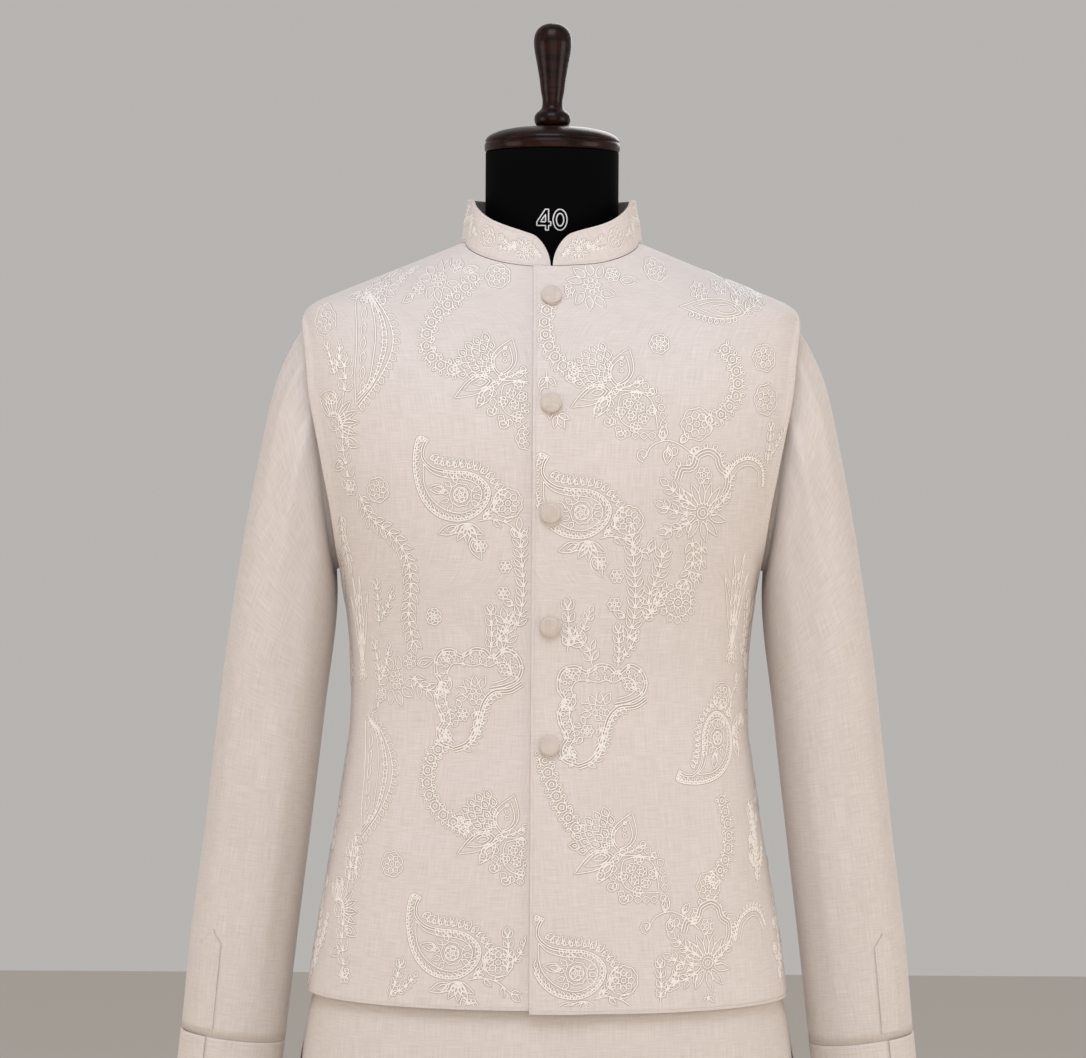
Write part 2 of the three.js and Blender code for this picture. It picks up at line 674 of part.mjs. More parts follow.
function sleevePlace(round, along) {
  const start = SLEEVE_ROWS[0].along;
  const row = sleeveRow(Math.max(along, start));
  const centre = rowCentre(row);
  const place = sleeveSection(row, round);
  const turn = ((round % 360) + 360) % 360;
  const dent = SLEEVE_FOLDS.reduce((sum, fold) => {
    const away = (turn - fold.round) / fold.wide;
    const run = smooth((along - fold.from) / FOLD_IN) * smooth((fold.to - along) / FOLD_OUT);
    return sum + fold.deep * run * Math.exp(-away * away);
  }, 0);
  place.addScaledVector(place.clone().sub(centre).normalize(), dent);
  return armholePlace(round).lerp(place, clamp(along / start, 0, 1));
}

function sleeve() {
  const parts = [SLEEVE_UPPER, SLEEVE_LOWER].flatMap(({ rings, from, to }) => spread(rings, from, to));
  const rows = [...SLEEVE_HEAD, ...parts];
  const centre = (along) => rowCentre(sleeveRow(Math.max(along, SLEEVE_ROWS[0].along)));
  return wall(tube(sleevePlace, centre, rows, spread(2 * ARMHOLE_STEPS, 0, 360), KURTA_WALL));
}

// The placket strip on the sleeve above the cuff, with a pointed top
function placket() {
  const { near, far, from, to, point, thick } = PLACKET;
  const rows = [from, from + point, ...spread(3, from + point, to).slice(1)];
  const middle = (near + far) / 2;
  const lifted = (round, along) => {
    const row = sleeveRow(along);
    const place = sleevePlace(round, along);
    const outward = place.clone().sub(rowCentre(row)).normalize();
    return {
      outer: place.clone().addScaledVector(outward, SEAM + thick),
      inner: place.clone().addScaledVector(outward, SEAM),
    };
  };
  return wall(
    rows.map((along) =>
      spread(4, near, far).map((round) => {
        const pointed = along === from ? lerp(middle, round, 0.12) : round;
        return lifted(pointed, along);
      }),
    ),
  );
}

// The cuff is a band whose buttoned end covers the other
function cuffRow(share) {
  return Object.fromEntries(
    sleeveColumns.map((name) => [name, lerp(CUFF.top[name], CUFF.foot[name], share)]),
  );
}

function cuffPlace(round, share) {
  const row = cuffRow(share);
  const place = sleeveSection(row, round);
  const { closing, lap, rise, level } = CUFF;
  const over = smooth((round - (closing + 360 - lap - level - rise)) / rise);
  const outward = place.clone().sub(rowCentre(row)).normalize();
  return place.addScaledVector(outward, BAND_WALL * 0.5 + over * (BAND_WALL + SEAM));
}

function cuff() {
  const rounds = spread(28, CUFF.closing - CUFF.lap, CUFF.closing + 360);
  const rows = tube(cuffPlace, (v) => rowCentre(cuffRow(v)), spread(2, 0, 1), rounds, BAND_WALL);
  return wall(rows);
}

// Pajama: each half is one piece, from the waistband over the hip and down the leg
const pajamaDatum = datum(PAJAMA_ROWS);
const PAJAMA_OUT = LAYER + PAJAMA_WALL;
const legColumns = ["centre", "half", "front", "back"];
const legRows = [...LEG_ROWS].sort((a, b) => a.z - b.z);
const legCurves = legColumns.map((name) => curve(legRows, "z", name));

function hipPlace(turn, z) {
  const place = pajamaDatum.skin(turn, z, PAJAMA_OUT);
  place.x = Math.max(place.x, SEAM / 2);
  return place;
}

// Round the leg from centre front by the outer side; the inner half starts as the flat crotch seam
function legPlace(round, z) {
  const [centre, half, front, back] = legCurves.map((at) => at(z));
  const s = Math.sin(round * DEGREE);
  const c = Math.cos(round * DEGREE);
  const y = (c > 0 ? -front : -back) * c;
  const fold = LEG_FOLDS.reduce((sum, { round: at, wide, deep, top }) => {
    const away = (round - at) / wide;
    return sum + deep * smooth((top - z) / LEG_FOLD_FALL) * Math.exp(-away * away);
  }, 0);
  const leg = new THREE.Vector3(centre + (half + fold) * s, y * (1 + fold / front), z);
  const hip =
    round <= 180
      ? hipPlace(round, CROTCH)
      : new THREE.Vector3(SEAM / 2, lerp(hipPlace(0, CROTCH).y, hipPlace(180, CROTCH).y, (1 - c) / 2));
  hip.z = z;
  return hip.lerp(leg, smooth((CROTCH - z) / LEG_EASE));
}

function pajamaHalf() {
  const rounds = spread(FORM_COLUMNS, 0, 360);
  const centre = (z) => new THREE.Vector3(LEG_ROWS[0].centre, 0, z);
  const heights = chain(spread(3, PAJAMA_HEM, KNEE), spread(4, KNEE, CROTCH));
  const leg = tube(legPlace, centre, heights, rounds, PAJAMA_WALL);
  const inward = (pair, turn, z) => {
    pair.inner = pajamaDatum.skin(turn, z, LAYER);
    pair.inner.x = Math.max(pair.inner.x, SEAM / 2);
    return pair;
  };
  const hip = spread(5, CROTCH, WAIST_FOOT - SEAM).map((z, i) =>
    spread(FORM_COLUMNS / 2, 0, 180).map((turn, j) =>
      i ? inward({ outer: hipPlace(turn, z) }, turn, z) : leg.at(-1)[j],
    ),
  );
  return wall(leg, hip);
}

function waistband() {
  const rows = spread(1, WAIST_FOOT, WAIST_TOP).map((z) =>
    spread(FORM_COLUMNS, 0, 360).map((turn) => ({
      outer: pajamaDatum.skin(turn, z, WAIST_GRIP + BAND_WALL),
      inner: pajamaDatum.skin(turn, z, WAIST_GRIP),
    })),
  );
  return wall(rows);
}

// The form carries the kurta along its shoulder ridges and the pajama at its waist. Elsewhere it
// is a little smaller than the cloth round it.
function formOut(turn, z) {
  const round = Math.min(turn, 360 - turn);
  const { ridgeWide, ridgeFoot, ridgeRise, waistRise, waistPast, neckRise } = FORM_TOUCH;
  const ridge = Math.exp(-Math.pow((round - 90) / ridgeWide, 2)) * smooth((z - ridgeFoot) / ridgeRise);
  const aboveWaist = smooth((WAIST_TOP + waistPast - z) / waistRise);
  const waist = smooth((z - WAIST_FOOT + waistPast) / waistRise) * aboveWaist;
  const neck = smooth((z - KURTA_SHOULDER_NECK) / neckRise);
  return -FORM_EASE * (1 - Math.max(ridge, waist, neck));
}

// The padded form, closed at its foot and at the top of its neck
function formTorso() {
  const trunk = [...spread(4, FORM_FOOT, WAIST_FOOT), ...spread(3, WAIST_TOP, FORM_CHEST)];
  const shoulders = [...FORM_SHOULDERS, ...spread(3, KURTA_TIP, FORM_SHOULDER_TOP)];
  const neck = [KURTA_SHOULDER_NECK, SHOULDER_NECK, ...FORM_NECK, FORM_TOP];
  const turns = spread(FORM_COLUMNS, 0, 360).slice(0, -1);
  const rings = [...trunk, ...shoulders, ...neck].map((z) =>
    turns.map((turn) => formDatum.skin(turn, z, formOut(turn, z))),
  );
  const positions = rings.flat();
  const faces = [];
  const at = (i, j) => i * turns.length + (j % turns.length);
  for (let i = 1; i < rings.length; i += 1) {
    for (let j = 0; j < turns.length; j += 1) {
      faces.push([at(i - 1, j), at(i - 1, j + 1), at(i, j + 1)]);
      faces.push([at(i - 1, j), at(i, j + 1), at(i, j)]);
    }
  }
  for (const [ring, flip] of [[0, true], [rings.length - 1, false]]) {
    const middle = positions.push(new THREE.Vector3(0, 0, rings[ring][0].z)) - 1;
    for (let j = 0; j < turns.length; j += 1) {
      const [a, b] = [at(ring, j), at(ring, j + 1)];
      faces.push(flip ? [middle, b, a] : [middle, a, b]);
    }
  }
  return facingOut(positions, faces);
}

// A turned piece from radius and height pairs
function turned(pairs, segments) {
  const profile = pairs.map(([radius, height]) => new THREE.Vector2(radius, height));
  return new THREE.LatheGeometry(profile, segments).rotateX(Math.PI / 2);
}

const CAP_PROFILE = [
  [0, 0],
  [57.5, 0],
  [59.4, 2],
  [59.6, 7],
  [58.2, 8.6],
  [59, 10.2],
  [55.5, 14.5],
  [47, 18.5],
  [35, 21],
  [0, 22.6],
];
const FINIAL_PROFILE = [
  [0, 0],
  [14, 0],
  [15.8, 5],
  [15.8, 9],
  [13, 13.4],
  [8.9, 17],
  [8.8, 23],
  [10.7, 31],
  [11.6, 42],
  [13.4, 53],
  [15.8, 65],
  [16.7, 74],
  [15.8, 81],
  [12, 87],
  [6, 90],
  [0, 90.8],
];
const BASE_PROFILE = [
  [0, 0],
  [BASE_RADIUS - 3, 0],
  [BASE_RADIUS, 3],
  [BASE_RADIUS, 8],
  [BASE_RADIUS - 6, 13],
  [BASE_RADIUS - 30, BASE_TOP],
  [0, BASE_TOP],
];
const FLANGE_PROFILE = [
  [POLE_RADIUS + SEAM, 0],
  [FLANGE_RADIUS, 0],
  [FLANGE_RADIUS, FLANGE_THICK * 0.6],
  [FLANGE_RADIUS - 4, FLANGE_THICK],
  [POLE_RADIUS + SEAM, FLANGE_THICK],
  [POLE_RADIUS + SEAM, 0],
];

const finish = (color, roughness, metalness = 0) =>
  new THREE.MeshStandardMaterial({ color, roughness, metalness });
const jacketCloth = finish("#ded5cd", 0.82);
const buttonCloth = finish("#cdc1b7", 0.8);
const kurtaCloth = finish("#d6cac0", 0.85);
const pajamaCloth = finish("#d8cdc4", 0.85);
const formCover = finish("#0b0b0b", 0.7);
const turnedWood = finish("#2a1411", 0.3);
const standMetal = finish("#1b1b1c", 0.45, 0.6);

const kurtaPajamaSet = new THREE.Group();
function add(name, geometry, material) {
  const mesh = new THREE.Mesh(geometry, material);
  mesh.name = name;
  kurtaPajamaSet.add(mesh);
  return mesh;
}
function addPair(name, geometry, material) {
  add(`${name}_left`, geometry, material);
  add(`${name}_right`, mirrored(geometry), material);
}

// A button on a surface, at a place and with its outward direction
function addButton(name, geometry, place, outward, material) {
  const mesh = add(name, geometry, material);
  mesh.position.copy(place).addScaledVector(outward, BUTTON_SEAT);
  mesh.quaternion.setFromUnitVectors(new THREE.Vector3(0, 0, 1), outward);
}

// Jacket
add("jacket_front_left", jacketFront(JACKET_HEM - LEFT_HEM_DROP, upperFrontOut), jacketCloth);
add("jacket_front_right", mirrored(jacketFront(JACKET_HEM, () => JACKET_OUT)), jacketCloth);
add("jacket_back", jacketBack(), jacketCloth);
add("jacket_collar", collar(), jacketCloth);
// Each button sits square on the level of the front's face that holds it
const leftHeights = jacketHeights(JACKET_HEM - LEFT_HEM_DROP, NECKLINE_STEPS);
BUTTON_HEIGHTS.forEach((z, i) => {
  const above = leftHeights.findIndex((height) => height > z);
  const [low, high] = [leftHeights[above - 1], leftHeights[above]].map((height) =>
    jacketDatum.skin(0, height, upperFrontOut(0, height)),
  );
  const place = low.clone().lerp(high, (z - low.z) / (high.z - low.z));
  const outward = new THREE.Vector3(0, low.z - high.z, high.y - low.y).normalize();
  const geometry = button(BUTTON_RADIUS, BUTTON_DOME);
  addButton(`jacket_button_${i + 1}`, geometry, place, outward, buttonCloth);
});

// Kurta
add("kurta_front", kurtaFront(), kurtaCloth);
add("kurta_back", kurtaBack(), kurtaCloth);
addPair("kurta_sleeve", sleeve(), kurtaCloth);
addPair("kurta_placket", placket(), kurtaCloth);
addPair("kurta_cuff", cuff(), kurtaCloth);
for (const [side, sign] of [["left", 1], ["right", -1]]) {
  const round = CUFF.closing - CUFF.lap / 2 + 360;
  const place = cuffPlace(round, 0.5);
  const outward = place.clone().sub(rowCentre(cuffRow(0.5))).setZ(0).normalize();
  for (const vector of [place, outward]) vector.x *= sign;
  const geometry = button(CUFF_BUTTON_RADIUS, CUFF_BUTTON_DOME);
  addButton(`kurta_cuff_button_${side}`, geometry, place, outward, buttonCloth);
}

// Pajama
addPair("pajama_leg", pajamaHalf(), pajamaCloth);
add("pajama_waistband", waistband(), pajamaCloth);

// Form and stand
add("form_torso", formTorso(), formCover);
const cap = add("form_cap", turned(CAP_PROFILE, 28), turnedWood);
cap.position.z = FORM_TOP + SEAM;
const finial = add("form_finial", turned(FINIAL_PROFILE, 18), turnedWood);
finial.position.z = cap.position.z + CAP_PROFILE.at(-1)[1] + SEAM;
add("stand_base", turned(BASE_PROFILE, 36), standMetal);
const poleFoot = BASE_TOP + SEAM;
const poleTop = FORM_FOOT - SEAM;
const poleGeometry = new THREE.CylinderGeometry(POLE_RADIUS, POLE_RADIUS, poleTop - poleFoot, 24);
const pole = add("stand_pole", poleGeometry.rotateX(Math.PI / 2), standMetal);
pole.position.set(POLE_X, 0, (poleFoot + poleTop) / 2);
const lowerFlange = add("stand_flange_lower", turned(FLANGE_PROFILE, 24), standMetal);
lowerFlange.position.set(POLE_X, 0, poleFoot);
const upperFlange = add("stand_flange_upper", turned(FLANGE_PROFILE, 24), standMetal);
upperFlange.rotation.x = Math.PI;
upperFlange.position.set(POLE_X, 0, poleTop);

export default kurtaPajamaSet;
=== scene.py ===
import math

import bmesh
import bpy
import numpy as np
from mathutils import Matrix, Vector


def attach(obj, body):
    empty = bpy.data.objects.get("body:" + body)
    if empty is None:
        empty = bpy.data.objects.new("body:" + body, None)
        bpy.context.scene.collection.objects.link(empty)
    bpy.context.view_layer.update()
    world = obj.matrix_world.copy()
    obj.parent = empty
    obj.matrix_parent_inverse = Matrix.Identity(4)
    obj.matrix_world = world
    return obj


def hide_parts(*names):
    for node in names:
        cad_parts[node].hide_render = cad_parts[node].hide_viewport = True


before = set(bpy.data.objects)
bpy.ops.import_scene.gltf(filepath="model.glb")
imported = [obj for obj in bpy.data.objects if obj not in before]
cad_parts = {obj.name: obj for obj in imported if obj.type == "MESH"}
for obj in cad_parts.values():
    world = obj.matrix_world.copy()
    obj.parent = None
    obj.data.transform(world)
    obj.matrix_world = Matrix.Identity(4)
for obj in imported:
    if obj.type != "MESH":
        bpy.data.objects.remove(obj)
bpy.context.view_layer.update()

# A plain pale studio: a wide floor, a soft lamp high in front, a warm one low in front, one at each side, one
# behind, and an even sky. The camera stands three metres away at chest height and looks almost level.
MM = 0.001
scene = bpy.context.scene
scene.view_settings.view_transform = "Standard"


def colour(code):
    """An sRGB hex value as the linear colour that a shader takes."""
    parts = [int(code[i : i + 2], 16) / 255 for i in (1, 3, 5)]
    linear = [p / 12.92 if p <= 0.04045 else ((p + 0.055) / 1.055) ** 2.4 for p in parts]
    return (*linear, 1.0)


def material(name, **settings):
    """A new material and its node tree, with constants set on the shader's own sockets."""
    made = bpy.data.materials.new(name)
    made.use_nodes = True
    shader = made.node_tree.nodes["Principled BSDF"]
    for socket, value in settings.items():
        shader.inputs[socket.replace("_", " ")].default_value = value
    return made


def node(tree, kind, links=(), **settings):
    """Adds a node, sets its fields and inputs, and links other nodes' outputs to its inputs."""
    made = tree.nodes.new("ShaderNode" + kind)
    for key, value in settings.items():
        if hasattr(made, key):
            setattr(made, key, value)
        else:
            made.inputs[key.replace("_", " ")].default_value = value
    for source, target in links:
        tree.links.new(source, made.inputs[target])
    return made


def noise(tree, place, size, **settings):
    """Noise with features of a size in mm at a place's coordinates."""
    return node(tree, "TexNoise", [(place, "Vector")], Scale=1 / (size * MM), **settings).outputs["Fac"]


def tinted(tree, share, dark, light, ends=(0, 1)):
    """Colours the tree's shader from dark to light as a share goes from one end to the other."""
    ramp = node(tree, "ValToRGB", [(share, "Fac")])
    for stop, end, code in zip(ramp.color_ramp.elements, ends, (dark, light)):
        stop.position, stop.color = end, colour(code)
    tree.links.new(ramp.outputs["Color"], tree.nodes["Principled BSDF"].inputs["Base Color"])


def embossed(tree, height, strength, depth):
    """Roughens the tree's shader with a height, to a depth in mm."""
    bump = node(tree, "Bump", [(height, "Height")], Strength=strength, Distance=depth * MM)
    tree.links.new(bump.outputs["Normal"], tree.nodes["Principled BSDF"].inputs["Normal"])


def object_place(tree):
    return node(tree, "TexCoord").outputs["Object"]


def aim(item, place, target):
    item.location = place
    item.rotation_euler = (Vector(target) - Vector(place)).to_track_quat("-Z", "Y").to_euler()


CAMERA_PLACE = (-0.0062, -3.2, 1.300)
CAMERA_TARGET = (-0.0062, 0.0, 1.240)
CAMERA_ROLL = 0.33  # degrees: the form leans this much in the picture
PHOTO_WIDTH = 0.9557  # metres across the photograph at the garment

camera_data = bpy.data.cameras.new("camera")
camera_data.sensor_width = 36
camera_data.lens = camera_data.sensor_width * abs(CAMERA_PLACE[1]) / PHOTO_WIDTH
camera = bpy.data.objects.new("camera", camera_data)
scene.collection.objects.link(camera)
aim(camera, CAMERA_PLACE, CAMERA_TARGET)
camera.rotation_euler.rotate_axis("Z", math.radians(CAMERA_ROLL))
scene.camera = camera

LAMPS = [
    ("key", (-0.3, -1.9, 3.7), (0, 0, 1.2), 1.8, 53, "#e2ecff"),
    ("fill", (0.2, -3.0, 0.9), (0, 0, 0.95), 2.4, 22, "#fff1e4"),
    ("left", (-2.6, -1.0, 1.25), (0, 0, 1.05), 1.4, 16, "#fff0e2"),
    ("right", (2.6, -1.0, 1.25), (0, 0, 1.05), 1.4, 20, "#fff4ea"),
    ("back", (0.8, 2.6, 2.6), (0, 0, 1.2), 1.6, 22, "#ffffff"),
]
for name, place, target, size, watts, tint in LAMPS:
    lamp = bpy.data.lights.new(name, "AREA")
    lamp.size = size
    lamp.energy = watts
    lamp.color = colour(tint)[:3]
    lamp_object = bpy.data.objects.new(name, lamp)
    scene.collection.objects.link(lamp_object)
    aim(lamp_object, place, target)

scene.world = bpy.data.worlds.new("sky")
scene.world.use_nodes = True
scene.world.node_tree.nodes["Background"].inputs["Color"].default_value = colour("#d6d3d0")
scene.world.node_tree.nodes["Background"].inputs["Strength"].default_value = 0.7

floor_shape = bmesh.new()
bmesh.ops.create_grid(floor_shape, x_segments=1, y_segments=1, size=6)
floor_mesh = bpy.data.meshes.new("floor")
floor_shape.to_mesh(floor_mesh)
floor = bpy.data.objects.new("floor", floor_mesh)
scene.collection.objects.link(floor)
floor_paint = material("pale_floor_paint", Base_Color=colour("#d9d3cb"), Roughness=0.8)
floor_mesh.materials.append(floor_paint)


# The form: a padded torso without limbs, covered in black stretch cloth, with a plain size number printed on
# its neck. Only the neck shows. It carries the kurta on its shoulders and the pajama at its waist.
NECK_HALF = 58.5
RIDGE_AT_NECK = (83, 1483.5)
SHOULDER_RISE = 0.408
TIP_ROUNDING = 14
FORM_ROWS = [  # height, half width, depth in front, depth behind
    (832, 158, 110, 112),
    (870, 168, 118, 121),
    (915, 171, 120, 124),
    (960, 167, 116, 118),
    (1020, 157, 110, 106),
    (1075, 151, 107, 99),
    (1130, 153, 110, 100),
    (1190, 161, 117, 108),
    (1257, 172, 124, 113),
    (1300, 180, 124.5, 115),
    (1354, 188, 116.5, 112.5),
    (1400, 191, 102, 102),
    (1440, 191, 84, 86),
    (1462, 191, 71, 75),
    (1478, 191, 62, 66),
    (1492, 191, NECK_HALF, 60),
    (1512, 191, NECK_HALF, NECK_HALF),
    (1570, 191, NECK_HALF, NECK_HALF),
]
SQUARENESS_ROWS = [  # height, power of the level section: 2 is an ellipse
    (455, 2.3),
    (1110, 2.3),
    (1190, 2.45),
    (1257, 2.8),
    (1320, 3),
    (1390, 3),
    (1430, 2.65),
    (1455, 2.2),
    (1470, 1.95),
    (1482, 1.8),
    (1494, 1.95),
    (1510, 2),
    (1571, 2),
]


def curve(rows, column):
    """A smooth curve through one column of a table against its first."""
    x = np.array([row[0] for row in rows], float)
    y = np.array([row[column] for row in rows], float)
    before, after = np.maximum(np.arange(len(x)) - 1, 0), np.minimum(np.arange(len(x)) + 1, len(x) - 1)
    slope = (y[after] - y[before]) / (x[after] - x[before])

    def at(value):
        v = np.clip(value, x[0], x[-1])
        i = np.clip(np.searchsorted(x, v, side="left") - 1, 0, len(x) - 2)
        step = x[i + 1] - x[i]
        t = (v - x[i]) / step
        rest = 1 - t
        return (
            y[i] * rest * rest * (1 + 2 * t)
            + slope[i] * step * t * rest * rest
            + y[i + 1] * t * t * (3 - 2 * t)
            - slope[i + 1] * step * t * t * rest
        )

    return at


def rounded_min(a, b, rounding):
    near = np.maximum(rounding - np.abs(a - b), 0) / rounding
    return np.minimum(a, b) - near * near * rounding / 4


def smooth(t):
    t = np.clip(t, 0, 1)
    return t * t * (3 - 2 * t)


power_at = curve(SQUARENESS_ROWS, 1)


class Figure:
    """A layer's datum: level sections from a table. Turn is in degrees from centre front, towards +X."""

    def __init__(self, rows):
        self.side, self.front, self.back = (curve(sorted(rows), column) for column in (1, 2, 3))

    def half(self, z):
        ridge = RIDGE_AT_NECK[0] + (RIDGE_AT_NECK[1] - z) / SHOULDER_RISE
        upper = rounded_min(self.side(z), ridge, TIP_ROUNDING)
        return -rounded_min(-upper, -NECK_HALF, TIP_ROUNDING)

    def depth(self, z, behind):
        return np.where(behind, self.back(z), self.front(z))

    def turn_at_depth(self, y, z):
        behind = y > 0
        away = np.minimum(np.abs(y) / self.depth(z, behind), 1)
        across = (1 - away ** power_at(z)) ** (1 / power_at(z))
        turn = np.degrees(np.arctan2(across, away))
        return np.where(behind, 180 - turn, turn)

    def turn_at_width(self, x, z):
        across = np.minimum(np.abs(x) / self.half(z), 1)
        away = (1 - across ** power_at(z)) ** (1 / power_at(z))
        return np.sign(x) * np.degrees(np.arctan2(across, away))

    def skin(self, turn, z, outward):
        """Points on the datum, moved out along its own normal."""
        turn, z, outward = np.broadcast_arrays(
            np.asarray(turn, float), np.asarray(z, float), np.asarray(outward, float)
        )
        s, c = np.sin(np.radians(turn)), np.cos(np.radians(turn))
        n, behind = power_at(z), c < 0
        reach = (np.abs(s) ** n + np.abs(c) ** n) ** (-1 / n)
        a, b = self.half(z), self.depth(z, behind)
        across, away = s * reach, c * reach
        step = 0.5
        a_slope = (self.half(z + step) - self.half(z - step)) / (2 * step)
        b_slope = (self.depth(z + step, behind) - self.depth(z - step, behind)) / (2 * step)
        normal = np.stack(
            [
                np.sign(across) * np.abs(across) ** (n - 1) / a,
                -np.sign(away) * np.abs(away) ** (n - 1) / b,
                -(np.abs(across) ** n) * a_slope / a - (np.abs(away) ** n) * b_slope / b,
            ],
            -1,
        )
        normal /= np.linalg.norm(normal, axis=-1, keepdims=True)
        return np.stack([a * across, -b * away, z], -1) + normal * outward[..., None]


def put(name, shape, finish):
    """Makes an object at the origin from a bmesh, smooth, with one material, riding on the only body."""
    mesh = bpy.data.meshes.new(name)
    for face in shape.faces:
        face.smooth = True
    shape.to_mesh(mesh)
    shape.free()
    made = bpy.data.objects.new(name, mesh)
    scene.collection.objects.link(made)
    mesh.materials.append(finish)
    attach(made, "root")
    return made


BODY_AXIS = (0, 0)


def woven(grids, middle=None):
    """Faces through grids of points in mm, looking away from the middle: a level place, or else the middle of
    each row. The UV map is in metres of flat cloth, and points that coincide become one."""
    joined = bmesh.new()
    for points in grids:
        rows, columns = points.shape[:2]
        i, j = rows // 2, columns // 2
        facing = np.cross(points[i, j + 1] - points[i, j], points[i + 1, j] - points[i, j])
        core = points[i].mean(0) if middle is None else np.array([*middle, points[i, j, 2]])
        if facing @ (points[i, j] - core) < 0:
            points = points[::-1]
        across = np.array([lengths_along(row) for row in points])
        across -= across[:, columns // 2, None]
        along = lengths_along(points[:, columns // 2])
        shape = bmesh.new()
        bmesh.ops.create_grid(shape, x_segments=columns - 1, y_segments=rows - 1, size=1)
        layer = shape.loops.layers.uv.new("cloth")
        place = {
            vertex: (round((vertex.co.y + 1) / 2 * (rows - 1)), round((vertex.co.x + 1) / 2 * (columns - 1)))
            for vertex in shape.verts
        }
        for vertex, (i, j) in place.items():
            vertex.co = Vector(points[i, j]) * MM
        for face in shape.faces:
            for loop in face.loops:
                i, j = place[loop.vert]
                loop[layer].uv = (across[i, j] * MM, along[i] * MM)
        spare = bpy.data.meshes.new("spare")
        shape.to_mesh(spare)
        shape.free()
        joined.from_mesh(spare)
        bpy.data.meshes.remove(spare)
    bmesh.ops.remove_doubles(joined, verts=joined.verts, dist=0.02 * MM)
    return joined


def lengths_along(line):
    """The distance from a line's start to each of its points."""
    return np.concatenate([[0], np.linalg.norm(np.diff(line, axis=0), axis=-1).cumsum()])


def chain(*parts):
    """Runs of values put end to end, where each run starts on the last one's end."""
    return np.concatenate([part if i == 0 else part[1:] for i, part in enumerate(parts)])


def crowded(count, start, end):
    """Values that crowd towards both ends, as points evenly round an oval do."""
    return start + (end - start) * (1 - np.cos(np.linspace(0, np.pi, count + 1))) / 2


def spread(count, start, end):
    return np.linspace(start, end, count + 1)


def panel(figure, heights, turns_at, out_at):
    """Rows of points of a body panel, from its heights, its columns' turns and its distance outside."""
    return np.array([figure.skin(turns_at(z), z, out_at(turns_at(z), z)) for z in heights])


# Black stretch jersey: a fine matt knit, lit only by its nap
form_jersey = material("black_stretch_jersey", Base_Color=colour("#050505"), Roughness=0.85,
                       Specular_IOR_Level=0.04)
tree = form_jersey.node_tree
KNIT_MM = 1.6  # wale spacing, drawn twice the real one so that it shows
knit = node(tree, "TexWave", [(object_place(tree), "Vector")], wave_type="BANDS", bands_direction="X",
            Scale=1 / (KNIT_MM * MM) / 6.28, Distortion=1.5, Detail=2.0)
embossed(tree, knit.outputs["Fac"], 0.25, 0.2)

form = Figure(FORM_ROWS)
FORM_EASE = 2.4  # how far the cover lies inside the datum where nothing rests on it
RIDGE_WIDE, RIDGE_FOOT = 6, 1390  # degrees, and the height where the shoulder ridge starts
WAIST = (1058, 1098)
SHOULDER_NECK = 1485.5
KURTA_SHOULDER_NECK = 1476.5


def form_out(turn, z):
    away = np.minimum(turn, 360 - turn) - 90
    ridge = np.exp(-((away / RIDGE_WIDE) ** 2)) * smooth((z - RIDGE_FOOT) / 30)
    waist = smooth((z - WAIST[0] + 30) / 25) * smooth((WAIST[1] + 30 - z) / 25)
    neck = smooth((z - KURTA_SHOULDER_NECK) / 12)
    return -FORM_EASE * (1 - np.maximum(np.maximum(ridge, waist), neck))


FORM_FOOT, FORM_TOP = 832, 1570
form_rows = panel(
    form,
    chain(spread(40, FORM_FOOT, 1400), spread(24, 1400, 1520), spread(6, 1520, FORM_TOP)),
    lambda z: spread(120, 0, 360),
    form_out,
)
shape = woven([form_rows])
bmesh.ops.holes_fill(shape, edges=[e for e in shape.edges if e.is_boundary])
rims = [e for e in shape.edges if abs(e.verts[0].co.z - e.verts[1].co.z) < 1e-6 and len(e.link_faces) == 2
        and any(len(f.verts) > 4 for f in e.link_faces)]
bmesh.ops.bevel(shape, geom=rims, offset=1.6 * MM, offset_type="OFFSET", segments=3, profile=0.5,
                affect="EDGES", clamp_overlap=True, material=-1)
torso = put("form_torso_cover", shape, form_jersey)
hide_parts("form_torso")

# The size number, printed in pale outline on the neck's front
print_ink = material("pale_print_ink", Base_Color=colour("#e6e6e6"), Roughness=0.6)
tree = print_ink.node_tree
tinted(tree, noise(tree, object_place(tree), 1.2, Detail=3.0), "#d2d2d2", "#f6f6f6")
NUMBER_HEIGHT, NUMBER_FOOT, DIGIT_WIDTH, DIGIT_GAP, STROKE = 18, 1499, 12, 2, 1.2
FOUR = [
    [(0.62, 0), (0.62, 0.22), (0, 0.22), (0, 0.4), (0.6, 1), (0.84, 1), (0.84, 0.4), (1, 0.4), (1, 0.22),
     (0.84, 0.22), (0.84, 0), (0.62, 0)],
    [(0.62, 0.4), (0.26, 0.4), (0.62, 0.76), (0.62, 0.4)],
]
ZERO = [
    [(0.5 + 0.5 * math.sin(a), 0.5 - 0.5 * math.cos(a)) for a in np.linspace(0, 2 * math.pi, 29)],
    [(0.5 + 0.26 * math.sin(a), 0.5 - 0.3 * math.cos(a)) for a in np.linspace(0, 2 * math.pi, 25)],
]


def threads(name, lines, radius, finish, sides=0):
    """Round threads along lines of points in mm, as one curve object."""
    data = bpy.data.curves.new(name, "CURVE")
    data.dimensions = "3D"
    data.bevel_depth = radius * MM
    data.bevel_resolution = sides
    for line in lines:
        spline = data.splines.new("POLY")
        spline.points.add(len(line) - 1)
        flat = np.concatenate([np.asarray(line) * MM, np.ones((len(line), 1))], 1)
        spline.points.foreach_set("co", flat.ravel())
        spline.use_smooth = True
    data.materials.append(finish)
    made = bpy.data.objects.new(name, data)
    scene.collection.objects.link(made)
    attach(made, "root")
    return made


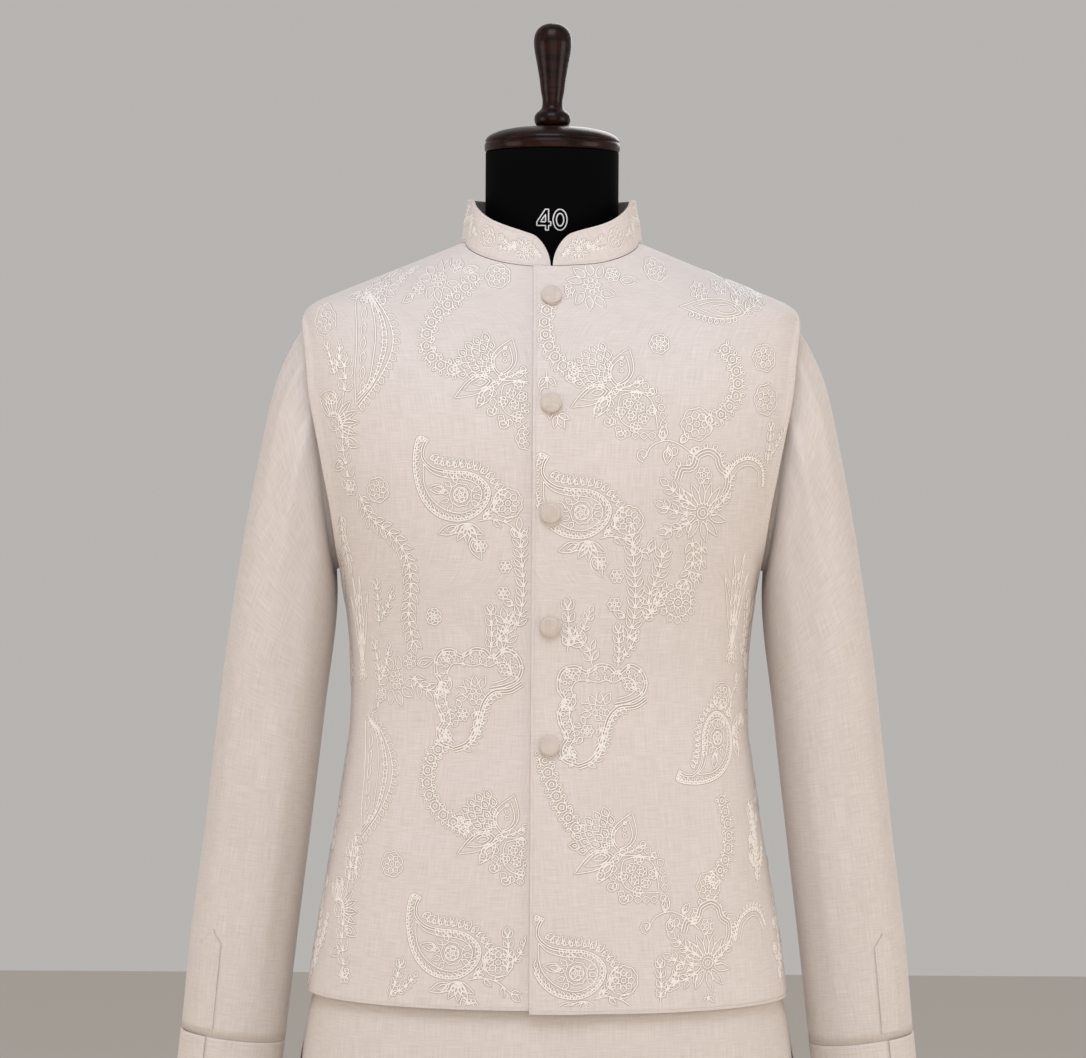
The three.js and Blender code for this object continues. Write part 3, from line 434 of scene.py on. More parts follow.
digits = []
for left, outlines in [(-DIGIT_WIDTH - DIGIT_GAP / 2, FOUR), (DIGIT_GAP / 2, ZERO)]:
    for outline in outlines:
        corners = np.array(outline)
        fine = np.concatenate([np.linspace(a, b, 5)[:-1] for a, b in zip(corners, corners[1:])]
                              + [corners[-1:]])
        x = left + fine[:, 0] * DIGIT_WIDTH
        z = NUMBER_FOOT + fine[:, 1] * NUMBER_HEIGHT
        digits.append(form.skin(form.turn_at_width(x, z), z, 0.05))
number = threads("form_size_number", digits, STROKE / 2, print_ink)


# The cap and its finial: turned from one dark hardwood, stained and varnished to a high gloss. A narrow
# groove runs round the cap's rim, and the finial screws in over a bead.
def turned(name, stands_for, slot, profile, foot, finish, at_x=0, segments=96, upside_down=False):
    """Spins a profile of (radius, height) pairs in mm round an upright axis, in place of a plain solid."""
    shape = bmesh.new()
    sign = -1 if upside_down else 1
    points = [shape.verts.new((r * MM, 0, sign * h * MM)) for r, h in profile]
    edges = [shape.edges.new(pair) for pair in zip(points, points[1:])]
    bmesh.ops.spin(shape, geom=points + edges, cent=(0, 0, 0), axis=(0, 0, 1), angle=2 * math.pi,
                   steps=segments, use_merge=True)
    bmesh.ops.remove_doubles(shape, verts=shape.verts, dist=0.01 * MM)
    bmesh.ops.recalc_face_normals(shape, faces=shape.faces)
    bmesh.ops.translate(shape, vec=(at_x * MM, 0, foot * MM), verts=shape.verts)
    made = put(name, shape, finish)
    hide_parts(stands_for)
    return made


def rounded(profile, step=0.6):
    """A profile with its corners softened, by two rounds of corner cutting."""
    line = np.array(profile, float)
    for _ in range(2):
        cut = [line[0]]
        for a, b in zip(line, line[1:]):
            length = max(np.linalg.norm(b - a), 1e-6)
            share = min(0.25, step * 2 / length)
            cut += [a + (b - a) * share, b - (b - a) * share]
        line = np.array(cut + [line[-1]])
    line[0, 0] = profile[0][0]
    return line


# Varnished dark hardwood: long grain across the cap, a clear gloss coat, reddish where light goes in
turned_wood = material("varnished_dark_hardwood", Base_Color=colour("#1c0a08"), Roughness=0.32,
                       Coat_Weight=0.1, Coat_Roughness=0.14, Specular_IOR_Level=0.12)
tree = turned_wood.node_tree
GRAIN_MM = 4.8
stretch = node(tree, "Mapping", [(object_place(tree), "Vector")], Scale=(0.12, 1, 1))
grain = noise(tree, stretch.outputs["Vector"], GRAIN_MM, Detail=6.0, Distortion=0.6)
tinted(tree, grain, "#0c0403", "#2c100c", (0.35, 0.72))
embossed(tree, grain, 0.12, 0.15)

CAP_FOOT = FORM_TOP + 0.3
CAP_PROFILE = [(0, 0), (57.5, 0), (59.4, 1.5), (59.6, 7.4), (58.1, 8.3), (58.1, 9.1), (59.1, 10), (57.6, 13),
               (54, 15.6), (47, 18.5), (35, 21), (18, 22.4), (0, 22.6)]
FINIAL_PROFILE = [(0, 0), (12.5, 0), (14.6, 1.6), (15.9, 5), (15.9, 9), (14.4, 11.8), (11.5, 14),
                  (9.4, 16.4), (8.8, 20), (9, 25), (10.3, 31), (11.3, 40), (12.6, 48), (14.2, 57),
                  (15.8, 65), (16.6, 71), (16.7, 76), (15.9, 81), (13.6, 85.5), (9.6, 88.8), (5, 90.4),
                  (0, 90.8)]
FINIAL_FOOT = CAP_FOOT + CAP_PROFILE[-1][1] + 0.3
turned("form_cap_turned", "form_cap", "turned_wood", rounded(CAP_PROFILE), CAP_FOOT, turned_wood)
turned("form_finial_turned", "form_finial", "turned_wood", rounded(FINIAL_PROFILE), FINIAL_FOOT, turned_wood,
       segments=64)


# The stand: a pressed and weighted steel base, a tube pole that stands inside one trouser leg, and a flange
# at each end of the pole. All are steel with a black powder coat, whose fine orange peel dulls the light.
BASE_RADIUS, BASE_TOP, POLE_RADIUS, POLE_X = 200, 18, 15, 92
BASE_PROFILE = [(0, 0), (BASE_RADIUS - 3, 0), (BASE_RADIUS, 3), (BASE_RADIUS, 8), (BASE_RADIUS - 6, 13),
                (BASE_RADIUS - 30, BASE_TOP), (0, BASE_TOP)]
FLANGE_PROFILE = [(15.3, 0), (42, 0), (42, 4.8), (38, 8), (15.3, 8), (15.3, 0)]
powder_coat = material("black_powder_coated_steel", Base_Color=colour("#18181a"), Roughness=0.42,
                       Metallic=0.0)
tree = powder_coat.node_tree
embossed(tree, noise(tree, object_place(tree), 1.5, Detail=2.0), 0.18, 0.1)
tinted(tree, noise(tree, object_place(tree), 60, Detail=4.0), "#131315", "#232326")

POLE_FOOT, POLE_TOP, POLE_CHAMFER = BASE_TOP + 0.3, FORM_FOOT - 0.3, 0.6
pole_length = POLE_TOP - POLE_FOOT
pole_profile = [(0, 0), (POLE_RADIUS - POLE_CHAMFER, 0), (POLE_RADIUS, POLE_CHAMFER),
                (POLE_RADIUS, pole_length - POLE_CHAMFER), (POLE_RADIUS - POLE_CHAMFER, pole_length),
                (0, pole_length)]
flange = rounded(FLANGE_PROFILE)
for name, stands_for, profile, foot, *rest in (
    ("stand_base_pressed", "stand_base", rounded(BASE_PROFILE), 0, 0, 128),
    ("stand_pole_tube", "stand_pole", pole_profile, POLE_FOOT, POLE_X, 48),
    ("stand_flange_lower_turned", "stand_flange_lower", flange, POLE_FOOT, POLE_X, 64),
    ("stand_flange_upper_turned", "stand_flange_upper", flange, POLE_TOP, POLE_X, 64, True),
):
    turned(name, stands_for, "stand_metal", profile, foot, powder_coat, *rest)


# The pajama: two straight pieces of plain off-white cotton, each from the waist over the hip and down one
# leg, sewn together along the crotch, with a folded waistband and a stitched hem. It hangs from the waist.
LAYER, PAJAMA_WALL, BAND_WALL, SEAM, WAIST_GRIP = 0.8, 1.2, 2, 0.3, 0.4
CROTCH, PAJAMA_HEM = 770, 72
PAJAMA_ROWS = [
    (CROTCH, 184, 122, 126),
    (870, 175, 121.5, 125),
    (915, 174.5, 122, 127),
    (960, 171, 118.5, 121.5),
    (1020, 160, 112.5, 109),
    (1075, 151, 107, 99),
    (1100, 151.5, 108, 99),
]
LEG_ROWS = [  # height, centre, half width, depth in front, depth behind
    (72, 92, 63, 67, 67),
    (280, 93, 70, 75, 75),
    (500, 94, 80, 86, 88),
    (690, 94, 90, 104, 108),
    (CROTCH, 94, 92.5, 112, 118),
]
LEG_FOLDS = [  # degrees round, width in degrees, depth, height where it starts
    (70, 16, -4, 560),
    (150, 18, 3.5, 640),
    (245, 17, -4, 520),
    (310, 15, 3, 600),
]
LEG_BLEND, LEG_FOLD_RISE = 170, 200  # heights over which the hip turns into the leg, and a fold comes in
LEG_CREASES = [(25, 6, -1.6, 420), (115, 5, -1.4, 500), (200, 6, -1.8, 380), (335, 5, -1.3, 300)]


def cotton(name, tone, dark, light, thread_mm=0.9, slub=1.0, on_object=False):
    """Plain woven cloth: matt, with uneven threads both ways, a soft nap and faint changes of tone. The
    threads are drawn about twice their real spacing so that they show."""
    made = material(name, Base_Color=colour(tone), Roughness=0.86, Sheen_Weight=0.18, Sheen_Roughness=0.45,
                    Specular_IOR_Level=0.25)
    tree = made.node_tree
    flat = object_place(tree) if on_object else node(tree, "UVMap", uv_map="cloth").outputs["UV"]
    thread = 1 / (thread_mm * MM)
    slubs = []
    for scale in ((1 / (18 * MM), thread, 1), (thread, 1 / (22 * MM), 1)):
        stretch = node(tree, "Mapping", [(flat, "Vector")], Scale=scale)
        slubs.append(node(tree, "TexNoise", [(stretch.outputs["Vector"], "Vector")], Scale=1.0, Detail=3.0,
                          noise_dimensions="2D").outputs["Fac"])
    weave = node(tree, "Math", [(slubs[0], 0), (slubs[1], 1)], operation="ADD").outputs["Value"]
    embossed(tree, weave, 0.35 * slub, 0.25)
    patches = noise(tree, flat, 70, Detail=2.0, noise_dimensions="2D")
    faint = node(tree, "Math", [(patches, 0)], operation="MULTIPLY")
    faint.inputs[1].default_value = 0.25
    mixed = node(tree, "Math", [(weave, 0), (faint.outputs["Value"], 1)], operation="ADD")
    share = node(tree, "MapRange", [(mixed.outputs["Value"], "Value")], From_Min=0.7, From_Max=1.55)
    tinted(tree, share.outputs["Result"], dark, light)
    return made


def shell(made, wall, rounding=0, lining_slot=0):
    """Gives a cloth surface its wall, inwards from its outer face, with its edges rounded."""
    solid = made.modifiers.new("wall", "SOLIDIFY")
    solid.thickness = wall * MM
    solid.offset = -1
    solid.material_offset = lining_slot
    if rounding:
        edge = made.modifiers.new("turned_edge", "BEVEL")
        edge.width = rounding * MM
        edge.segments = 2
        edge.limit_method = "ANGLE"
        edge.angle_limit = math.radians(50)


sewing_thread = material("sewing_thread", Base_Color=colour("#d8ccbf"), Roughness=0.6, Sheen_Weight=0.3)
tree = sewing_thread.node_tree
tinted(tree, noise(tree, object_place(tree), 0.8), "#c4b6a7", "#e6dccf")
STITCH, STITCH_GAP, STITCH_RADIUS = 2.6, 1.0, 0.24
SIDES = (("left", 1), ("right", -1))  # the wearer's, and its sign in X


def stitches(lines):
    """Cuts lines of points into short raised stitches."""
    cut = []
    for line in lines:
        line = np.asarray(line)
        length = lengths_along(line)
        for start in np.arange(0.5, length[-1] - STITCH, STITCH + STITCH_GAP):
            at = np.linspace(start, start + STITCH, 3)
            cut.append(np.stack([np.interp(at, length, line[:, k]) for k in range(3)], 1))
    return cut


def cloth_piece(name, stands_for, grids, finish, wall, middle=None, rounding=0, lined_with=None):
    """A cloth piece woven from grids, with its wall and any lining, in place of its plain solid."""
    made = put(name, woven(grids, middle), finish)
    if lined_with:
        made.data.materials.append(lined_with)
    shell(made, wall, rounding, 1 if lined_with else 0)
    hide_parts(stands_for)
    return made


def sewing(name, lines):
    made = threads(name, stitches(lines), STITCH_RADIUS, sewing_thread)
    return made


pajama_cotton = cotton("pajama_cotton", "#d3cac3", "#cac0b8", "#dbd2cb")
pajama = Figure(PAJAMA_ROWS)
leg_curves = [curve(LEG_ROWS, column) for column in (1, 2, 3, 4)]


def hip_place(turn, z, out):
    place = pajama.skin(turn, z, out)
    place[..., 0] = np.maximum(place[..., 0], SEAM / 2)
    return place


def leg_place(round_, z):
    centre, half, front, back = (at(z) for at in leg_curves)
    s, c = np.sin(np.radians(round_)), np.cos(np.radians(round_))
    y = np.where(c > 0, -front, -back) * c
    fold = sum(deep * smooth((top - z) / LEG_FOLD_RISE) * np.exp(-(((round_ - at) / wide) ** 2))
               for at, wide, deep, top in LEG_FOLDS + LEG_CREASES)
    leg = np.stack([centre + (half + fold) * s, y * (1 + fold / front), np.full_like(s, z)], -1)
    out = LAYER + PAJAMA_WALL
    hip = hip_place(np.minimum(round_, 180), CROTCH, out)
    first, last = hip_place(np.array([0.0, 180.0]), CROTCH, out)[:, 1]
    inner = round_ > 180
    hip[inner, 0] = SEAM / 2
    hip[inner, 1] = (first + (last - first) * (1 - c) / 2)[inner]
    hip[:, 2] = z
    return hip + (leg - hip) * smooth((CROTCH - z) / LEG_BLEND)


leg_rounds = spread(96, 0, 360)
leg_heights = chain(spread(1, PAJAMA_HEM, PAJAMA_HEM + 3), spread(60, PAJAMA_HEM + 3, CROTCH))
leg_points = np.array([leg_place(leg_rounds, z) for z in leg_heights])
hip_points = np.array([hip_place(leg_rounds[leg_rounds <= 180], z, LAYER + PAJAMA_WALL)
                       for z in spread(26, CROTCH, WAIST[0] - SEAM)])
HEM_TURN = 22
for side, sign in SIDES:
    flip = (sign, 1, 1)
    leg = cloth_piece(f"pajama_half_{side}", f"pajama_leg_{side}",
                      [leg_points * flip, hip_points * flip], pajama_cotton, PAJAMA_WALL,
                      (sign * LEG_ROWS[-1][1], 0))
    hem_line = leg_place(leg_rounds, PAJAMA_HEM + HEM_TURN) * flip
    sewn = sewing(f"pajama_hem_stitches_{side}", [hem_line])

band_rows = np.array([pajama.skin(spread(120, 0, 360), z, WAIST_GRIP + BAND_WALL)
                      for z in spread(8, *WAIST)])
waistband = cloth_piece("pajama_waistband_band", "pajama_waistband", [band_rows],
                        pajama_cotton, BAND_WALL)


# The kurta: front and back panels of plain cotton and linen, sewn at the shoulders and down the sides to the
# slits. A round neck hides under the jacket's band collar. Below the slits the skirt hangs in soft folds.
KURTA_WALL, KURTA_OUT = 1.2, LAYER + 1.2
KURTA_TIP, KURTA_ARMPIT, KURTA_SLIT, KURTA_HEM = 1427.5, 1212, 815, 455
KURTA_NECK_HALF = 96
NECK_ROWS = [(row[0], 202, *row[2:]) for row in FORM_ROWS if row[0] >= 1440]
KURTA_ROWS = [
    (KURTA_HEM, 232, 150, 150),
    (600, 226, 146, 147),
    (700, 220, 142, 144),
    (780, 213, 138, 140),
    (KURTA_SLIT, 208, 135, 137),
    (836, 203, 131.5, 134),
    (890, 192, 128, 131),
    (960, 178.5, 124, 126),
    (1030, 167, 119, 115),
    (1110, 161, 116, 106),
    (1190, 168, 121.5, 111.5),
    (1257, 181, 128, 116.5),
    (1300, 192, 128, 118),
    (1354, 202, 119, 115),
    (1400, 204, 103, 103.5),
] + NECK_ROWS
KURTA_ARMHOLE = (KURTA_TIP, KURTA_ARMPIT, 58, 66)  # top, foot, half width in front and behind
SKIRT_FOLDS = [  # degrees round from centre front, width in degrees, depth, height where it starts
    (14, 8, -5, 790),
    (33, 9, 6, 830),
    (52, 8, -6, 760),
    (70, 7, 5, 800),
    (112, 8, 5, 790),
    (131, 9, -6, 770),
    (152, 9, 5, 820),
]
SKIRT_FOLD_RISE = 330
SLIT_FRONT, SLIT_BACK, SLIT_FLARE = 9, 5, 3.5
SLIT_STITCHES, KURTA_HEM_STITCH, KURTA_MM_PER_DEGREE = (2.5, 18), 15, 3.9

kurta_cotton = cotton("kurta_cotton_linen", "#d2c8c0", "#c8bdb4", "#dad1ca", slub=1.2)
kurta = Figure(KURTA_ROWS)


def side_turn(figure, hole, z, behind):
    """The outer edge of a body panel at a height: side seam, armhole, then shoulder seam."""
    top, foot, front, back = hole
    half = (top - foot) / 2
    share = np.clip((z - foot - half) / half, -1, 1)
    deep = (back if behind else front) * math.sqrt(1 - share * share)
    return float(figure.turn_at_depth((1 if behind else -1) * max(deep, SEAM / 2), z))


def neck_turn(figure, z, lowest, highest, half):
    """The edge of a front neckline at a height, from its lowest point up to the shoulder seam."""
    drop = np.clip((highest - z) / (highest - lowest), 0, 1)
    return float(figure.turn_at_width(half * math.sqrt(1 - drop * drop), z))


def kurta_side(z, behind):
    if z >= KURTA_SLIT:
        return side_turn(kurta, KURTA_ARMHOLE, z, behind)
    slit = smooth(1.6 * (KURTA_SLIT - z) / (KURTA_SLIT - KURTA_HEM))
    apart = SEAM / 2 + slit * (SLIT_BACK if behind else SLIT_FRONT)
    return float(kurta.turn_at_depth((1 if behind else -1) * apart, z))


def kurta_out(turn, z):
    turn = np.asarray(turn, float)
    around = np.where(turn > 180, 360 - turn, np.abs(turn))
    folds = sum(deep * smooth((top - z) / SKIRT_FOLD_RISE) * np.exp(-(((around - at) / wide) ** 2))
                for at, wide, deep, top in SKIRT_FOLDS)
    flare = SLIT_FLARE * np.exp(-(((around - 90) / 9) ** 2)) * smooth((KURTA_SLIT - z) / 60)
    return KURTA_OUT + folds + np.where((turn > 90) & (turn < 270), flare, 0)


kurta_heights = chain(spread(60, KURTA_HEM, KURTA_SLIT), spread(44, KURTA_SLIT, KURTA_ARMPIT),
                      crowded(36, KURTA_ARMPIT, KURTA_TIP))
strap_heights = spread(12, KURTA_TIP, KURTA_SHOULDER_NECK)


def kurta_turns(z, behind, count=72):
    """Turns across a kurta panel at a height, from one of its side edges to the other."""
    edge = kurta_side(z, behind)
    return spread(count, edge, 360 - edge) if behind else spread(count, -edge, edge)


def strap_turns(z):
    neck = neck_turn(kurta, z, KURTA_TIP, KURTA_SHOULDER_NECK, KURTA_NECK_HALF)
    return spread(16, neck, kurta_side(z, False))


strap = panel(kurta, strap_heights, strap_turns, kurta_out)
front_grids = [panel(kurta, kurta_heights, lambda z: kurta_turns(z, False), kurta_out), strap * (-1, 1, 1),
               strap]
back_heights = chain(kurta_heights, spread(8, KURTA_TIP, KURTA_SHOULDER_NECK))
back_grid = panel(kurta, back_heights, lambda z: kurta_turns(z, True), kurta_out)
for name, node_name, grids, behind in (
    ("kurta_front_panel", "kurta_front", front_grids, False),
    ("kurta_back_panel", "kurta_back", [back_grid], True),
):
    cloth_panel = cloth_piece(name, node_name, grids, kurta_cotton, KURTA_WALL, BODY_AXIS)
    lines = []
    heights = spread(80, KURTA_HEM + 14, KURTA_SLIT + 4)
    for inset in SLIT_STITCHES:
        inwards = (inset if behind else -inset) / KURTA_MM_PER_DEGREE
        line = panel(kurta, heights, lambda z: kurta_side(z, behind) + inwards, kurta_out)
        lines += [line * (-1, 1, 1), line]
    hem_turns = kurta_turns(KURTA_HEM + KURTA_HEM_STITCH, behind, 160)
    lines.append(panel(kurta, [KURTA_HEM + KURTA_HEM_STITCH], lambda z: hem_turns, kurta_out)[0])
    sewn = sewing(name + "_stitches", lines)


# The sleeves: each one cut, set into the kurta's armhole with soft folds at its head, and hanging empty and a
# little forward. A pointed placket strip is sewn on above each cuff.
SLEEVE_ROWS = [  # share of the way from armhole to cuff, inner edge x and z, outer edge x and z, depths
    (0.07, 188.5, 1203, 213.5, 1421.5, 60, 66),
    (0.14, 187.5, 1194, 226.8, 1401, 66, 68),
    (0.22, 187, 1182, 241.5, 1367, 70, 68),
    (0.31, 187.5, 1165, 254.5, 1309, 70, 66),
    (0.42, 190, 1138, 269, 1232, 68, 60),
    (0.53, 196, 1092, 284, 1134, 65, 53),
    (0.65, 203, 1030, 294, 1050, 61, 46),
    (0.78, 211.5, 958, 303.2, 970, 57, 38),
    (0.9, 221.8, 872, 314.5, 884, 53, 29),
    (1, 231, 789.5, 322.3, 800.5, 48, 21),
]
SLEEVE_POWER = 2.15
SLEEVE_FOLDS = [  # degrees round from the outer edge, front first; from and to along; width; depth
    (30, 0.02, 0.3, 12, -4.4),
    (60, 0.04, 0.42, 12, -3.8),
    (105, 0.2, 0.62, 14, -3),
    (330, 0.03, 0.34, 12, -4),
    (285, 0.08, 0.5, 14, -3.4),
]
SLEEVE_CREASES = [
    (14, 0.02, 0.26, 5, -2),
    (45, 0.03, 0.36, 5, 2.2),
    (80, 0.08, 0.5, 6, 1.9),
    (70, 0.06, 0.34, 4, -1.6),
    (86, 0.48, 0.97, 8, -1.4),
    (50, 0.5, 0.93, 9, 1.2),
    (118, 0.6, 1.0, 8, 1.4),
    (345, 0.1, 0.8, 7, -1.8),
    (300, 0.45, 0.95, 7, 1.2),
]
sleeve_curves = [curve(SLEEVE_ROWS, column) for column in range(1, 7)]


def sleeve_section(row, around):
    inner_x, inner_z, outer_x, outer_z, front, back = row
    s, c = np.sin(np.radians(around)), np.cos(np.radians(around))
    reach = (np.abs(s) ** SLEEVE_POWER + np.abs(c) ** SLEEVE_POWER) ** (-1 / SLEEVE_POWER)
    share = (1 + c * reach) / 2
    deep = np.where(s > 0, front, back)
    return np.stack(
        [inner_x + (outer_x - inner_x) * share, -deep * s * reach, inner_z + (outer_z - inner_z) * share], -1
    )


def row_centre(row):
    return np.array([(row[0] + row[2]) / 2, 0, (row[1] + row[3]) / 2])


def unit(vectors):
    return vectors / np.linalg.norm(vectors, axis=-1, keepdims=True)


def armhole_place(around):
    top, foot, front, back = KURTA_ARMHOLE
    half = (top - foot) / 2
    z = foot + half + (half - SEAM) * np.cos(np.radians(around))
    s = np.sin(np.radians(around))
    y = -(np.where(s > 0, front, back) - SEAM) * s
    y = np.where(np.abs(y) < SEAM / 2, SEAM / 2, y)
    return kurta.skin(kurta.turn_at_depth(y, z), z, KURTA_OUT - KURTA_WALL / 2)


def sleeve_place(around, along):
    start = SLEEVE_ROWS[0][0]
    row = [float(at(max(along, start))) for at in sleeve_curves]
    place = sleeve_section(row, around)
    turn = np.mod(around, 360)
    dent = sum(deep * smooth((along - first) / 0.08) * smooth((last - along) / 0.12)
               * np.exp(-(((turn - at) / wide) ** 2))
               for at, first, last, wide, deep in SLEEVE_FOLDS + SLEEVE_CREASES)
    place = place + unit(place - row_centre(row)) * dent[..., None]
    share = min(along / start, 1)
    return armhole_place(around) * (1 - share) + place * share


SLEEVE_ROUNDS = spread(100, 0, 360)
sleeve_alongs = chain(spread(10, 0, 0.1), spread(76, 0.1, 1))
sleeve_grid = np.array([sleeve_place(SLEEVE_ROUNDS, along) for along in sleeve_alongs])

# Cuffs: bands folded double, buttoned at the back of the wrist, with a row of stitches along each edge
CUFF_TOP = np.array([232, 789.1, 321.4, 800.1, 47.1, 20.1])
CUFF_FOOT = np.array([239, 730, 327.4, 741, 45.5, 17.5])
CUFF_CLOSING, CUFF_LAP = 64, 24


def cuff_place(around, share):
    row = CUFF_TOP + (CUFF_FOOT - CUFF_TOP) * share
    place = sleeve_section(row, around)
    over = smooth((around - (CUFF_CLOSING + 360 - CUFF_LAP - 40)) / 32)
    out = BAND_WALL * 0.5 + over * (BAND_WALL + SEAM)
    return place + unit(place - row_centre(row)) * out[..., None]


CUFF_ROUNDS = spread(150, CUFF_CLOSING - CUFF_LAP, CUFF_CLOSING + 360)
cuff_grid = np.array([cuff_place(CUFF_ROUNDS, share) for share in spread(14, -0.004, 1)])
PLACKET_NEAR, PLACKET_FAR, PLACKET_TOP, PLACKET_FOOT = 48, 71, 0.887, 0.992
PLACKET_POINT, PLACKET_THICK = 0.015, 1
FOREARM_MIDDLE = 270  # a distance out in X that lies inside the forearm


def placket_place(around, along):
    row = [float(at(along)) for at in sleeve_curves]
    place = sleeve_place(around, along)
    return place + unit(place - row_centre(row)) * (SEAM + PLACKET_THICK)


def placket_round(share, along):
    """Place round the sleeve of a share of the strip's width, which closes to a point at its top."""
    middle, half = (PLACKET_NEAR + PLACKET_FAR) / 2, (PLACKET_FAR - PLACKET_NEAR) / 2
    return middle + half * share * max(min((along - PLACKET_TOP) / PLACKET_POINT, 1), 0.12)


placket_alongs = chain(spread(8, PLACKET_TOP, PLACKET_TOP + PLACKET_POINT),
                       spread(30, PLACKET_TOP + PLACKET_POINT, PLACKET_FOOT))
placket_grid = np.array([placket_place(placket_round(spread(12, -1, 1), a), a) for a in placket_alongs])
for side, sign in SIDES:
    flip = (sign, 1, 1)
    sleeve = cloth_piece(f"kurta_sleeve_{side}_cloth", f"kurta_sleeve_{side}",
                         [sleeve_grid * flip], kurta_cotton, KURTA_WALL)
    strip = cloth_piece(f"kurta_placket_{side}_strip", f"kurta_placket_{side}",
                        [placket_grid * flip], kurta_cotton, PLACKET_THICK, (sign * FOREARM_MIDDLE, 0), 0.35)
    edges = [[placket_place(placket_round(share, a), a) * flip for a in placket_alongs]
             for share in (-0.8, 0.8)]
    edges.append([placket_place(placket_round(share, PLACKET_TOP + 0.02), PLACKET_TOP + 0.02) * flip
                  for share in spread(8, -0.8, 0.8)])
    strip_sewn = sewing(f"kurta_placket_{side}_stitches", edges)
    cuff = cloth_piece(f"kurta_cuff_{side}_band", f"kurta_cuff_{side}",
                       [cuff_grid * flip], kurta_cotton, BAND_WALL, None, 0.6)
    rows = [cuff_place(CUFF_ROUNDS, share) * flip for share in (0.045, 0.12, 0.955)]
    cuff_sewn = sewing(f"kurta_cuff_{side}_stitches", rows)


# The jacket: two lined fronts, the wearer's left over the right, and a back, in slubbed cotton and linen with
# a firm interlining. Edges are turned and rolled, with a line of stitches close to each.
JACKET_WALL = 2.4
JACKET_OUT = KURTA_OUT + LAYER + JACKET_WALL
JACKET_TIP, JACKET_ARMPIT, JACKET_HEM, JACKET_FRONT_NECK = 1430.5, 1190, 836, 1464.5
LEFT_HEM_DROP, NECKLINE_HALF = 2.5, 73.5
FRONT_LAP, LAP_EASE, LAP_LIFT = 15.3, 28, JACKET_WALL + 2 * SEAM
JACKET_ROWS = [
    (836, 205.5, 137, 139),
    (890, 197.5, 134.5, 137),
    (925, 191.5, 133, 134.5),
    (960, 185.5, 131, 131),
    (995, 179.5, 129, 126),
    (1030, 174.5, 127, 120.5),
    (1065, 169.8, 125, 115),
    (1110, 168.4, 124, 111.5),
    (1150, 170.5, 126, 113),
    (1190, 176, 129, 116),
    (1257, 190, 132.5, 120.5),
    (1300, 200, 131.5, 121.5),
    (1354, 211, 121.5, 118),
    (1400, 213, 104.5, 106),
    (1440, 211, 86, 92),
    (1462, 211, 76, 83),
    (1478, 211, 72, 77),
    (SHOULDER_NECK, 211, 71, 74),
]
JACKET_ARMHOLE = (JACKET_TIP, JACKET_ARMPIT, 69, 78)

jacket_cloth = cotton("jacket_slub_cotton_linen", "#d6ccc5", "#ccc1b9", "#dfd6d0", slub=1.4)
lining = cotton("jacket_lining_cotton", "#b7aca1", "#a99e93", "#c0b6ab", slub=0.5)
jacket = Figure(JACKET_ROWS)


def easing(count, start, end):
    """Values that crowd towards the start."""
    return start + (end - start) * np.linspace(0, 1, count + 1) ** 2


def jacket_heights(hem, neck_rows):
    return chain(
        spread(70, hem, JACKET_ARMPIT),
        crowded(44, JACKET_ARMPIT, JACKET_TIP),
        spread(8, JACKET_TIP, JACKET_FRONT_NECK),
        easing(neck_rows, JACKET_FRONT_NECK, SHOULDER_NECK),
    )


def ripple(turn, z):
    """The slight unevenness of worn cloth, outwards only."""
    turn = np.asarray(turn, float)
    wave = np.sin(np.radians(turn * 5) + z / 61) + np.sin(np.radians(turn * 9) - z / 37 + 1) * 0.6
    return 0.28 * (wave + 1.6) * smooth((JACKET_FRONT_NECK - 40 - z) / 60)


ARMHOLE_LIFT, ARMHOLE_EASE, MM_PER_DEGREE = 3, 8, 3.5
hole_heights = spread(60, JACKET_ARMPIT, JACKET_TIP)
hole_edges = {behind: [side_turn(jacket, JACKET_ARMHOLE, z, behind) for z in hole_heights]
              for behind in (False, True)}


def armhole_lift(turn, z):
    """How far the armhole's edge stands off the kurta and its sleeve."""
    turn, z = np.abs(np.asarray(turn, float)), np.asarray(z, float)
    turn = np.minimum(turn, 360 - turn)
    edge = np.where(turn > 90, np.interp(z, hole_heights, hole_edges[True]),
                    np.interp(z, hole_heights, hole_edges[False]))
    fade = smooth((z - JACKET_ARMPIT) / 40) * smooth((JACKET_TIP - z) / 14)
    return ARMHOLE_LIFT * fade * np.exp(-((np.abs(turn - edge) * MM_PER_DEGREE / ARMHOLE_EASE) ** 2))


def lower_front_out(turn, z):
    return JACKET_OUT + ripple(turn, z) + armhole_lift(turn, z)


def upper_front_out(turn, z):
    x = jacket.skin(turn, z, 0)[..., 0]
    return lower_front_out(turn, z) + LAP_LIFT * (1 - smooth((x - FRONT_LAP - 1) / LAP_EASE))


def neckline(z):
    return neck_turn(jacket, z, JACKET_FRONT_NECK, SHOULDER_NECK, NECKLINE_HALF)


def front_turns(z):
    neck = neckline(z) if z > JACKET_FRONT_NECK else -180.0
    lap = np.maximum(jacket.turn_at_width(spread(14, -FRONT_LAP, FRONT_LAP + 1), z), neck)
    edge = side_turn(jacket, JACKET_ARMHOLE, z, False)
    return chain(lap, lap[-1] + (edge - lap[-1]) * np.sin(np.linspace(0, np.pi / 2, 65)))


def back_turns(z):
    edge = side_turn(jacket, JACKET_ARMHOLE, z, True)
    return crowded(92, edge, 360 - edge)


def armhole_line(behind, inset, out_at):
    """Points beside the armhole's edge, a distance inside the panel."""
    top, foot, front, back = JACKET_ARMHOLE
    hole = (top, foot - inset, front + inset, back + inset)
    heights = crowded(60, foot - inset, top)
    turns = np.array([side_turn(jacket, hole, z, behind) for z in heights])
    return jacket.skin(turns, heights, out_at(turns, heights))


